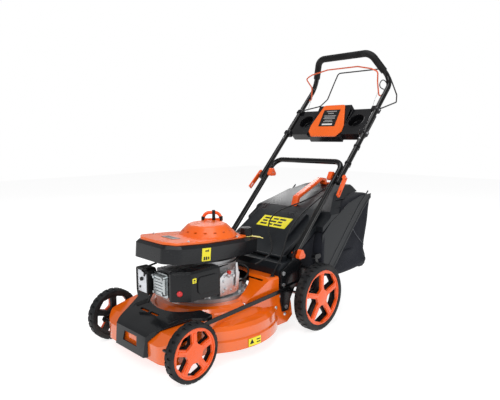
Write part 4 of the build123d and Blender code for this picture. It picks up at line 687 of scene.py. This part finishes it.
bm = bag_loft(side_outline, bag_half, 8, 0.006)
sides = [f for f in bm.faces if len(f.verts) == len(side_outline)]
for face in sides:
    for turn in range(3):
        made = bmesh.ops.inset_individual(bm, faces=[face], thickness=0.032, depth=0.0)
        pull = Vector((-0.006 if face.calc_center_median().x > 0 else 0.006, 0, 0))
        bmesh.ops.translate(bm, verts=list(face.verts), vec=pull)
bmesh.ops.triangulate(bm, faces=[f for f in bm.faces if len(f.verts) > 4])
bmesh.ops.subdivide_edges(bm, edges=bm.edges, cuts=1, use_grid_fill=True, smooth=0.4)
for vert in bm.verts:
    fold = noise.noise(vert.co * 7.0 + Vector((3.1, 0, 0))) * 0.007 + noise.noise(vert.co * 19.0) * 0.0025
    inside = min(1.0, max(0.0, (0.44 - vert.co.z) / 0.06)) * min(1.0, max(0.0, (vert.co.z - 0.165) / 0.04))
    if abs(vert.co.x) > bag_half - 0.035:
        vert.co.x += fold * inside * (1 if vert.co.x > 0 else -1) - 0.002 * (1 if vert.co.x > 0 else -1)
    elif vert.co.y > BACK - 0.06:
        vert.co.y += (fold - 0.004) * inside
bag = finish_piece("bag_cloth_shell", bm, fabric, "grass_bag", 80)
smoothing = bag.modifiers.new("smoothing", "SUBSURF")
smoothing.levels = smoothing.render_levels = 1
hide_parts("bag_cloth")
bag_area = sum(face.area for face in bag.data.polygons)
print("bag cloth area", round(bag_area, 3))

# %% Neck of the bag, open at its mouth
bm = bmesh.new()
neck_front = [(-neck_half, bag_low.y, 0.207), (neck_half, bag_low.y, 0.207),
              (neck_half, bag_low.y, 0.246), (-neck_half, bag_low.y, 0.246)]
neck_back = [(-neck_half, 0.096, 0.174), (neck_half, 0.096, 0.174), (neck_half, 0.096, 0.334),
             (-neck_half, 0.096, 0.334)]
front_ring = [bm.verts.new(p) for p in neck_front]
back_ring = [bm.verts.new(p) for p in neck_back]
front_edges = [bm.edges.new((front_ring[i], front_ring[i - 1])) for i in range(4)]
back_edges = [bm.edges.new((back_ring[i], back_ring[i - 1])) for i in range(4)]
bmesh.ops.bridge_loops(bm, edges=front_edges + back_edges)
bmesh.ops.subdivide_edges(bm, edges=bm.edges, cuts=5, use_grid_fill=True)
for vert in bm.verts:
    away = 1 - abs((vert.co.y - bag_low.y) / (0.096 - bag_low.y) * 2 - 1)
    vert.co.z += 0.005 * away * noise.noise(vert.co * 14.0) + (0.004 * away if vert.co.z < 0.2 else 0.0)
neck = finish_piece("bag_neck_cloth", bm, fabric, "grass_bag", 60)
wall = neck.modifiers.new("cloth_wall", "SOLIDIFY")
wall.thickness = 1.2 * MM
wall.offset = 0.0

# %% A taped crease on each side
for side, hand in ((1, "left"), (-1, "right")):
    inset = side * (bag_half - 5 * MM)
    smooth_wire(f"bag_crease_{hand}", [(inset, 0.235, 0.405), (inset, 0.290, 0.350), (inset, 0.345, 0.285),
                                       (inset, BACK - 0.038, 0.245)],
                2.0 * MM, piping, "grass_bag")

# %% [markdown]
# ## Lid of the bag
# The lid is one moulding with a raised spine under the handle and a double channel along each side,
# where the cloth is clipped on. Long thin ribs laid on the flank draw those channels. A small orange
# flap near the ridge shows when the bag is full.

# %% Lid ribs
lid_line = [(0.165, 0.405), (0.270, 0.463), (0.360, 0.486), (BACK - 0.010, 0.487)]
shoulder_drop = 98.0 / 115.0


def lid_height(y, x):
    """Height of the lid's surface at a place, from its ridge line and its shoulders."""
    for (y0, z0), (y1, z1) in zip(lid_line, lid_line[1:]):
        if y <= y1:
            break
    ridge = z0 + (z1 - z0) * (y - y0) / (y1 - y0) + 5 * MM
    return min(ridge, 0.498 - (abs(x) - 0.090) * shoulder_drop)


bm = bmesh.new()
for side in (1, -1):
    for x, lift in ((0.150, 0.4), (0.178, 0.4)):
        for first, second in zip((0.18, 0.24, 0.30, 0.36), (0.24, 0.30, 0.36, 0.42)):
            start = Vector((side * x, first, lid_height(first, x) + lift * MM))
            end = Vector((side * x, second, lid_height(second, x) + lift * MM))
            add_box(bm, (start + end) / 2, end - start, EX, ((end - start).length, 7 * MM, 4 * MM), 1.2 * MM)
finish_piece("lid_ribs", bm, slate, "grass_bag")

# %% Flank panels of the lid, which clip onto the cloth
flank_top = [(0.092, 0.330), (0.151, 0.378), (0.270, 0.437), (0.360, 0.459), (BACK - 0.003, 0.463)]
flank_low = [(BACK - 0.004, 0.446), (0.372, 0.398), (0.300, 0.325), (0.232, 0.252), (0.168, 0.183),
             (0.150, 0.166), (0.092, 0.178)]
for side, hand in ((1, "left"), (-1, "right")):
    bm = bmesh.new()
    panel = bm.faces.new([bm.verts.new((side * (bag_half - 1.5 * MM), y, z)) for y,
                          z in flank_top + flank_low])
    thick = bmesh.ops.extrude_face_region(bm, geom=[panel])
    outer = [v for v in thick["geom"] if isinstance(v, bmesh.types.BMVert)]
    bmesh.ops.translate(bm, verts=outer, vec=(side * 3.0 * MM, 0, 0))
    ridges = ((0.000, 0.0085), (0.034, 0.0065))
    for offset, wide in ridges:
        for (y0, z0), (y1, z1) in zip(flank_low, flank_low[1:5]):
            start = Vector((side * (bag_half + 1.5 * MM), y0, z0))
            end = Vector((side * (bag_half + 1.5 * MM), y1, z1))
            along = (end - start).normalized()
            inward = Vector((0, along.z, -along.y)) * (offset + wide / 2)
            add_box(bm, (start + end) / 2 + inward, along, inward,
                    ((end - start).length + 2 * MM, wide, 3.0 * MM), 0.9 * MM)
    finish_piece(f"lid_flank_{hand}", bm, slate, "grass_bag", 35)

# %% Full-bag indicator
bm = bmesh.new()
add_box(bm, (0.0, 0.405, 0.4965), EX, EY, (0.034, 0.042, 3.5 * MM), 1.0 * MM)
add_bar(bm, (-0.018, 0.386, 0.4975), (0.018, 0.386, 0.4975), 2.5 * MM, 16)
finish_piece("full_bag_indicator", bm, rim_orange, "grass_bag")

# %% [markdown]
# ## Rear flap
# The flap has a raised panel with a label. The label's words are left as plain bars. Two coil springs on
# the hinge rod hold the flap down: a coil is a circle that is spun round an axis while it moves along it.

# %% Flap label
ROOF_RISE = 0.61
slope = math.atan(ROOF_RISE)
panel_up = Vector((0, cos(slope), sin(slope)))
panel_out = Vector((0, -sin(slope), cos(slope)))
roof_mid = Vector((0.0, 0.031, 0.276 + ROOF_RISE * 0.124 + 0.016))
bm = bmesh.new()
add_label(bm, roof_mid + panel_out * 0.2 * MM + EX * 0.006, EX, panel_up, 0.150, 0.062,
          text_lines(3, 0.82, 0.15, 0.27, 0.27))
finish_piece("flap_label", bm, [label_yellow, label_black], "flap")


# %% Coil springs
def coil(name, start, end, radius, wire, turns, finish, body):
    """A helical spring: a small circle spun round the axis while it moves along it."""
    start, end = Vector(start), Vector(end)
    axis = (end - start).normalized()
    side = axis.orthogonal().normalized()
    place = Matrix((side, axis, side.cross(axis))).transposed().to_4x4()
    place.translation = start + side * radius
    steps = int(turns * 14)
    bm = bmesh.new()
    bmesh.ops.create_circle(bm, segments=8, radius=wire / 2, matrix=place)
    bmesh.ops.spin(bm, geom=list(bm.verts) + list(bm.edges), cent=start, axis=axis,
                   dvec=(end - start) / steps,
                   angle=2 * math.pi * turns, steps=steps)
    return finish_piece(name, bm, finish, body, 60)


hinge_y, hinge_z = -0.093, 0.270
for side, hand in ((1, "left"), (-1, "right")):
    coil(f"flap_spring_{hand}", (side * 0.1565, hinge_y, hinge_z), (side * 0.1665, hinge_y, hinge_z),
         5.2 * MM, 1.2 * MM, 4, zinc, "chassis")

# %% [markdown]
# ## Engine trim
# The engine wears many small fittings: a rating label on the cowl, a grey badge plate, carburettor
# springs and links in front of a zinc plate, a spark plug with its boot and lead, a tether under the
# fuel cap, and bolts. Each is modelled, because the eye reads an engine by its clutter.

# %% Cowl label and badge
CRANK_Y = -0.313
COWL_TOP = 0.329 + 0.028
tilt = radians(4.5)
cowl_back = Vector((0.0, cos(tilt), -sin(tilt)))
cowl_out = Vector((0.0, sin(tilt), cos(tilt)))
bm = bmesh.new()
flank_dir = (Vector((0.008, 0.116, 0.0)).normalized() + Vector((0, 0, -sin(tilt)))).normalized()
add_label(bm, (0.1227, -0.421, 0.3345), flank_dir, EZ, 0.034, 0.042,
          [(0.0, 0.28, 0.30, 0.10), (0.22, 0.30, 0.10, 0.16), (-0.22, -0.28, 0.16, 0.26),
           (0.02, -0.28, 0.18, 0.26), (0.27, -0.28, 0.16, 0.20)])
finish_piece("cowl_rating_label", bm, [label_yellow, label_black], "chassis")
bm = bmesh.new()
badge_at = Vector((0.0, -0.470, 0.0))
badge_z = COWL_TOP + 0.0095 - sin(tilt) * (badge_at.y - CRANK_Y)
add_box(bm, (0.002, badge_at.y, badge_z + 1.0 * MM), EX, cowl_back, (0.062, 0.030, 2.2 * MM), 0.8 * MM)
for row in (-1, 0, 1):
    add_box(bm, (0.002, badge_at.y + row * 0.007, badge_z + 2.2 * MM - row * 0.007 * sin(tilt)), EX,
            cowl_back,
            (0.044, 0.0022, 0.7 * MM), 0.2 * MM, 1)
finish_piece("cowl_badge", bm, [label_grey, label_black], "chassis")

# %% Cowl screws and starter feet
bm = bmesh.new()
for x, y in ((0.095, -0.470), (-0.095, -0.470), (0.088, -0.255), (-0.088, -0.255)):
    top = COWL_TOP + 0.0090 - sin(tilt) * (y - CRANK_Y)
    add_hex(bm, (x, y, top), cowl_out, 7 * MM, 4 * MM)
finish_piece("cowl_screws", bm, zinc, "chassis")
bm = bmesh.new()
grip_at = Vector((-0.050, -0.247, 0.401))
grip_dir = Vector((0.64, 0.77, 0.0))
for offset in (-0.032, 0.032):
    foot = grip_at + grip_dir * offset
    add_bar(bm, foot - EZ * 0.001, foot + EZ * 0.016, 7.6 * MM, 20, 0, 7.0 * MM, 1.2 * MM)
strap = grip_at + grip_dir * 0.006
add_box(bm, strap + EZ * 0.020, grip_dir, EZ, (0.0115, 0.038, 0.0145), 1.5 * MM)
finish_piece("starter_handle_feet", bm, filter_black, "pull")

# %% Fuel cap tether
cap_low, cap_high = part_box("fuel_cap")
cap_mid = Vector(((cap_low.x + cap_high.x) / 2, (cap_low.y + cap_high.y) / 2, cap_low.z))
bm = bmesh.new()
add_turned(bm, cap_mid - EZ * 0.003, EZ, [(0.0, 0.0152), (0.0, 0.0232), (0.0018, 0.0232), (0.0018, 0.0152),
                                          (0.0, 0.0152)], 40)
leaf = Vector((0.80, 0.60, -0.10)).normalized()
add_box(bm, cap_mid + leaf * 0.036 - EZ * 0.0015, leaf, leaf.cross(EZ), (0.034, 0.013, 1.8 * MM), 0.6 * MM)
add_box(bm, cap_mid + leaf * 0.056 - EZ * 0.003, leaf - EZ * 0.25, leaf.cross(EZ), (0.014, 0.008, 1.6 * MM),
        0.5 * MM)
finish_piece("fuel_cap_tether", bm, tag_yellow, "chassis")

# %% Rocker cover ribs, plug and lead
head_low, head_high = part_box("cylinder_head")
bm = bmesh.new()
face_y = head_low.y + 0.003
mid_x, mid_z = (head_low.x + head_high.x) / 2, (head_low.z + head_high.z) / 2
for nth in range(5):
    z = mid_z + (nth - 2) * 0.0095
    add_box(bm, (mid_x, face_y - 0.0002, z), EX, EZ, (0.040, 0.0040, 0.0035), 1.0 * MM)
finish_piece("rocker_cover_ribs", bm, rocker, "chassis")
bm = bmesh.new()
plug = Vector((head_low.x - 0.006, head_low.y + 0.018, 0.268))
plug_dir = Vector((-0.35, -0.80, 0.35)).normalized()
add_bar(bm, plug, plug + plug_dir * 0.012, 6 * MM, 6, 1)
add_bar(bm, plug + plug_dir * 0.010, plug + plug_dir * 0.034, 8 * MM, 20, 0, 6.5 * MM, 1.2 * MM)
finish_piece("spark_plug_boot", bm, [sheath, zinc], "chassis")
smooth_wire("spark_plug_lead", [plug + plug_dir * 0.030, plug + plug_dir * 0.044 + EZ * 0.004,
                                (0.004, -0.576, 0.296),
                                (0.012, -0.560, 0.306), (0.016, -0.536, 0.310)], 6 * MM, sheath, "chassis")

# %% Face of the exhaust guard
guard_low, guard_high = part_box("muffler_guard")
bm = bmesh.new()
gx, gz = (guard_low.x + guard_high.x) / 2, (guard_low.z + guard_high.z) / 2
add_box(bm, (gx + 0.004, guard_low.y - 0.0004, gz), EX, EZ, (0.046, 0.070, 1.6 * MM), 0.5 * MM)
add_bar(bm, (gx + 0.004, guard_low.y - 0.001, gz + 0.008), (gx + 0.004, guard_low.y - 0.0065, gz + 0.008),
        6 * MM, 24, 1)
for dx, dz in ((0.014, 0.022), (-0.012, -0.020)):
    add_hex(bm, (gx + 0.004 + dx, guard_low.y - 0.001, gz + dz), -EY, 6 * MM, 3 * MM, 1)
finish_piece("exhaust_face_plate", bm, [shield, guard_black], "chassis")

# %% Control plate fittings: links, springs, hose and knob
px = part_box("control_plate")[1].x
bm = bmesh.new()
for y, z in ((-0.352, 0.196), (-0.318, 0.196), (-0.352, 0.232)):
    add_hex(bm, (px - 4.2 * MM, y, z), EX, 8 * MM, 4 * MM)
add_box(bm, (px - 0.0025, -0.336, 0.250), Vector((0, 1, 0.35)), EX, (0.030, 0.008, 2 * MM), 0.5 * MM)
add_bar(bm, (px - 0.004, -0.340, 0.247), (px + 0.014, -0.340, 0.247), 2 * MM, 12)
finish_piece("control_plate_fittings", bm, zinc, "chassis")
coil("governor_spring", (px + 0.0125, -0.340, 0.247), (px + 0.0125, -0.318, 0.281), 2.6 * MM, 0.9 * MM, 11,
     steel, "chassis")
coil("idle_spring", (px - 0.010, -0.360, 0.262), (px - 0.010, -0.318, 0.270), 2.2 * MM, 0.8 * MM, 12, steel,
     "chassis")
smooth_wire("throttle_link", [(px + 0.001, -0.300, 0.287), (px + 0.001, -0.330, 0.292),
                              (px - 0.008, -0.372, 0.288), (px - 0.020, -0.404, 0.284)],
            1.8 * MM, steel, "chassis")
smooth_wire("breather_hose", [(0.086, -0.250, 0.268), (0.112, -0.236, 0.262), (0.134, -0.240, 0.246),
                              (0.136, -0.262, 0.226),
                              (0.118, -0.274, 0.214), (0.098, -0.270, 0.210)], 7 * MM, sheath, "chassis")
smooth_wire("fuel_hose", [(0.070, -0.226, 0.318), (0.090, -0.240, 0.296), (0.106, -0.286, 0.284),
                          (0.104, -0.340, 0.278),
                          (0.096, -0.384, 0.270)], 6 * MM, sheath, "chassis")
bm = bmesh.new()
add_turned(bm, (px + 0.001, -0.337, 0.262), EX,
           [(0, 0), (0, 0.005), (0.004, 0.0065), (0.010, 0.0065), (0.012, 0.004), (0.012, 0)], 24)
finish_piece("choke_knob", bm, knob_red, "chassis")

# %% Filter box label and ribs
box_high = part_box("airbox_cover")[1]
bm = bmesh.new()
add_label(bm, (box_high.x - 3.8 * MM, -0.4925, 0.270), EY, EZ, 0.015, 0.015,
          [(0, 0.1, 0.5, 0.3), (0, -0.25, 0.6, 0.1)])
finish_piece("filter_label", bm, [label_yellow, label_black], "chassis")
bm = bmesh.new()
for row in range(5):
    y = -0.470 + row * 0.012
    add_box(bm, (0.118, y + 0.010, box_high.z - 0.0002), Vector((1, 0.45, 0)), EY,
            (0.034, 0.0035, 2.4 * MM), 0.7 * MM)
finish_piece("filter_box_ribs", bm, filter_black, "chassis")

# %% Bolts and ribs on the engine's base
bm = bmesh.new()
for turn in range(6):
    angle = radians(20 + 60 * turn)
    place = Vector((0.122 * cos(angle), CRANK_Y + 0.122 * sin(angle), 0.177))
    add_turned(bm, place, EZ, [(0, 0), (0, 0.011), (0.007, 0.009), (0.009, 0.0)], 24)
for turn in range(9):
    angle = radians(-60 + 22 * turn)
    rim = Vector((0.108 * cos(angle), CRANK_Y + 0.108 * sin(angle), 0.190))
    add_box(bm, rim, Vector((cos(angle), sin(angle), 0)), EZ, (0.026, 0.030, 0.005), 1.2 * MM)
finish_piece("base_flange_ribs", bm, cast, "chassis")

# %% [markdown]
# ## Deck trim
# The pressed deck carries a small label with a plain triangle, rivets on its flank, a rubber grommet where
# the drive cable enters, and a bent stay beside the exhaust.

# %% Deck label, rivets, grommet and stay
bm = bmesh.new()
angle = radians(-4.0)
SKIRT_R = 0.2477
spot = Vector((SKIRT_R * cos(angle), CRANK_Y + SKIRT_R * sin(angle), 0.058))
spot_dir = Vector((-sin(angle), cos(angle), 0))
add_label(bm, spot + Vector((cos(angle), sin(angle), 0)) * 0.6 * MM, spot_dir, EZ, 0.052, 0.026,
          [(0.30, 0.15, 0.3, 0.14), (0.30, -0.2, 0.3, 0.14)])
out = Vector((cos(angle), sin(angle), 0))
add_bar(bm, spot - spot_dir * 0.012 + out * 1.0 * MM, spot - spot_dir * 0.012 + out * 1.7 * MM, 0.010, 3, 1)
finish_piece("deck_label", bm, [label_yellow, label_black], "chassis")
bm = bmesh.new()
for y, z in ((-0.118, 0.076), (-0.140, 0.146), (-0.165, 0.110)):
    add_turned(bm, (0.1898, y, z), EX, [(0, 0), (0, 0.0065), (0.002, 0.006), (0.0035, 0.003), (0.004, 0)], 24)
finish_piece("deck_rivets", bm, zinc, "chassis")
bm = bmesh.new()
add_turned(bm, (0.172, -0.164, 0.216), EZ,
           [(0, 0), (0, 0.010), (0.004, 0.010), (0.006, 0.006), (0.014, 0.0045), (0.014, 0)], 28)
finish_piece("cable_grommet", bm, sheath, "chassis")
bm = bmesh.new()
add_box(bm, (-0.055, -0.548, 0.166), Vector((-0.5, -0.35, -0.25)), EZ, (0.046, 0.014, 0.004), 1.2 * MM)
add_box(bm, (-0.024, -0.536, 0.192), Vector((-0.4, -0.2, -0.9)), EX, (0.050, 0.010, 0.004), 1.2 * MM)
finish_piece("exhaust_stay", bm, guard_black, "chassis")

# %% Nose cover slots darkened with painted shade
nose_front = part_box("front_cover")[0].y
# Black blocks sit just under the cover's slots, so each slot shows painted shade in place of the deck below.
bm = bmesh.new()
for side in (1, -1):
    for nth in range(3):
        start = Vector((side * (0.086 + 0.012 * nth), nose_front + 0.045 + 0.012 * nth, 0.1285 + 0.002 * nth))
        end = Vector((side * (0.118 + 0.012 * nth), nose_front + 0.108 + 0.012 * nth, 0.1520))
        add_box(bm, (start + end) / 2 - EZ * 0.006, end - start, EX, ((end - start).length, 4 * MM, 9 * MM),
                1.0 * MM)
finish_piece("nose_slot_painted_shade", bm, nose_black, "chassis")

# %% [markdown]
# ## Wheels
# Each wheel has a tyre with low side ribs, a domed hub cap, a thin raised ring round the cover and a ridge
# on each of its five spokes. The round profiles are drawn once and spun round the axle.


# %% Hub caps, rings and tyre side ribs
def wheel_trim(end, hand, body):
    """Turned trim on the outer face of one wheel."""
    side = 1 if hand == "left" else -1
    low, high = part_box(f"{end}_wheel_{hand}")
    rim_low, rim_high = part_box(f"{end}_wheel_cover_{hand}")
    centre = Vector((0.0, (low.y + high.y) / 2, (low.z + high.z) / 2))
    face = rim_high.x if side > 0 else -rim_low.x
    outer = high.x if side > 0 else -low.x
    rim = (rim_high.z - rim_low.z) / 2
    radius = (high.z - low.z) / 2
    axis = EX * side
    bm = bmesh.new()
    hub = [(face - 0.004, 0.0), (face - 0.004, 0.027), (face - 0.0005, 0.026), (face + 0.0010, 0.018),
           (face + 0.0014, 0.008), (face + 0.0014, 0.0)]
    add_turned(bm, centre, axis, hub, 40)
    band = [(face - 0.002, rim - 0.006), (face + 0.0010, rim - 0.005), (face + 0.0010, rim - 0.002),
            (face - 0.002, rim - 0.001)]
    add_turned(bm, centre, axis, band + band[:1], 72)
    for spoke in range(5):
        angle = radians(90 + 72 * spoke)
        along = Vector((0, cos(angle), sin(angle)))
        start = centre + along * 0.030 + axis * (face - 0.002)
        end_at = centre + along * (rim - 0.014) + axis * (face - 0.002)
        add_box(bm, (start + end_at) / 2, along, axis.cross(along),
                ((end_at - start).length, 0.010, 0.0046), 1.6 * MM)
    finish_piece(f"{end}_hub_{hand}", bm, rim_orange, body)
    bm = bmesh.new()
    for share in (0.30, 0.62):
        r = rim + (radius - 0.006 - rim) * share
        ring = [(outer - 0.002, r - 0.0022), (outer - 0.0002, r - 0.001), (outer - 0.0002, r + 0.001),
                (outer - 0.002, r + 0.0022)]
        add_turned(bm, centre, axis, ring + ring[:1], 72)
    finish_piece(f"{end}_tyre_ribs_{hand}", bm, tyre_rubber, body)


for end in ("front", "rear"):
    for hand in ("left", "right"):
        wheel_trim(end, hand, f"{end}_{hand}")

# %% [markdown]
# ## Handle trim
# The tubes carry screws, plastic brackets that hold the console, a wire loop that guides the starter
# rope, cable clips, and thin bare wires from the two bails into the console.

# %% Console label
bm = bmesh.new()
panel_turn = radians(47.0 + 10.5)
panel_up = Vector((0.0, cos(panel_turn), sin(panel_turn)))
panel_out = Vector((0.0, -sin(panel_turn), cos(panel_turn)))
panel_at = on_handle(0.0, 0.303, 0.0056) + panel_out * 7.2 * MM
bars = [(0.0, 0.40, 0.62, 0.05), (0.0, 0.28, 0.34, 0.05), (0.0, 0.13, 0.74, 0.04), (0.0, 0.05, 0.66, 0.04),
        (0.0, -0.03, 0.70, 0.04), (0.0, -0.14, 0.44, 0.04), (0.0, -0.22, 0.58, 0.04)]
add_label(bm, panel_at + panel_up * 0.010, EX, panel_up, 0.086, 0.086, bars)
add_box(bm, panel_at + panel_up * (0.010 - 0.033) + panel_out * 0.5 * MM, EX, panel_up,
        (0.054, 0.0075, 0.4 * MM), 0.0, 2)
finish_piece("console_label", bm, [label_black, label_grey, label_white], "upper_bars")

# %% Console brackets and screws
bm = bmesh.new()
screws = bmesh.new()
for side in (1, -1):
    for distance in (0.236, 0.368):
        place = on_handle(side * (UPPER_X - 0.004), distance, -0.002)
        add_box(bm, place, EX, UP_HANDLE, (0.034, 0.024, 0.030), 4 * MM)
        add_hex(screws, place + EX * side * 0.0165, EX * side, 7 * MM, 4 * MM)
    place = on_handle(side * UPPER_X, 0.196)
    add_hex(screws, place + OUT_HANDLE * 0.0108, OUT_HANDLE, 6 * MM, 3.5 * MM)
finish_piece("console_brackets", bm, console_black, "upper_bars")
finish_piece("console_screws", screws, zinc, "upper_bars")

# %% Cup liners, bail wires and the rope guide
bm = bmesh.new()
for side in (1, -1):
    rim = on_handle(side * 0.132, 0.306, 0.0)
    add_turned(bm, rim, OUT_HANDLE, [(-0.002, 0.0342), (0.0014, 0.0350), (0.0018, 0.0372), (0.0010, 0.0392),
                                     (-0.002, 0.0396), (-0.002, 0.0342)], 48)
finish_piece("cup_rims", bm, console_black, "upper_bars")
for side, hand in ((1, "left"), (-1, "right")):
    smooth_wire(f"bail_wire_{hand}", [on_handle(side * 0.176, 0.470, 0.014),
                                      on_handle(side * 0.174, 0.430, 0.006),
                                      on_handle(side * 0.172, 0.392, -0.006),
                                      on_handle(side * 0.170, 0.366, -0.012)],
                1.8 * MM, steel, "upper_bars")
guide = [on_handle(UPPER_X - 0.008, 0.478, 0.010), on_handle(UPPER_X - 0.014, 0.470, 0.024),
         on_handle(UPPER_X - 0.020, 0.482, 0.036),
         on_handle(UPPER_X - 0.020, 0.508, 0.036), on_handle(UPPER_X - 0.014, 0.520, 0.024),
         on_handle(UPPER_X - 0.008, 0.514, 0.010)]
smooth_wire("rope_guide", guide, 4.5 * MM, tube_black, "upper_bars")

# %% Cables along the upper tube and their clips
for index, front in enumerate((-0.0145, -0.0185)):
    x = UPPER_X - 0.006 - 0.006 * index
    run = [on_handle(0.165, 0.252, -0.034), on_handle(0.176, 0.222, -0.030),
           on_handle(x, 0.180, front - 0.001),
           on_handle(x, 0.110, front - 0.002), on_handle(x - 0.004, 0.050, front - 0.004),
           on_handle(0.172, 0.012, -0.026),
           on_handle(0.160, -0.012 - 0.014 * index, -0.030)]
    wire = smooth_wire(f"upper_cable_{index + 1}", run, CABLE_D, sheath, "upper_bars")
    length = wire_length(wire)
    print("upper cable", index + 1, round(length, 3))
bm = bmesh.new()
for distance in (0.070, 0.160):
    ring = on_handle(UPPER_X, distance)
    add_turned(bm, ring, UP_HANDLE, [(-0.004, 0.0110), (-0.004, 0.0135), (0.004, 0.0135), (0.004, 0.0110),
                                     (-0.004, 0.0110)], 32)
    add_box(bm, ring - OUT_HANDLE * 0.0175 - EX * 0.008, EX, UP_HANDLE, (0.018, 0.008, 0.010), 2 * MM)
finish_piece("cable_clips", bm, sheath, "upper_bars")

# %% Tube end plugs
bm = bmesh.new()
for side in (1, -1):
    end_at = on_handle(side * UPPER_X, -0.030)
    add_turned(bm, end_at, -UP_HANDLE, [(-0.004, 0), (-0.004, 0.0094), (0.0, 0.0094), (0.0, 0.0112),
                                        (0.003, 0.0105), (0.0042, 0.006), (0.0042, 0)], 28)
finish_piece("tube_plugs", bm, sheath, "upper_bars")
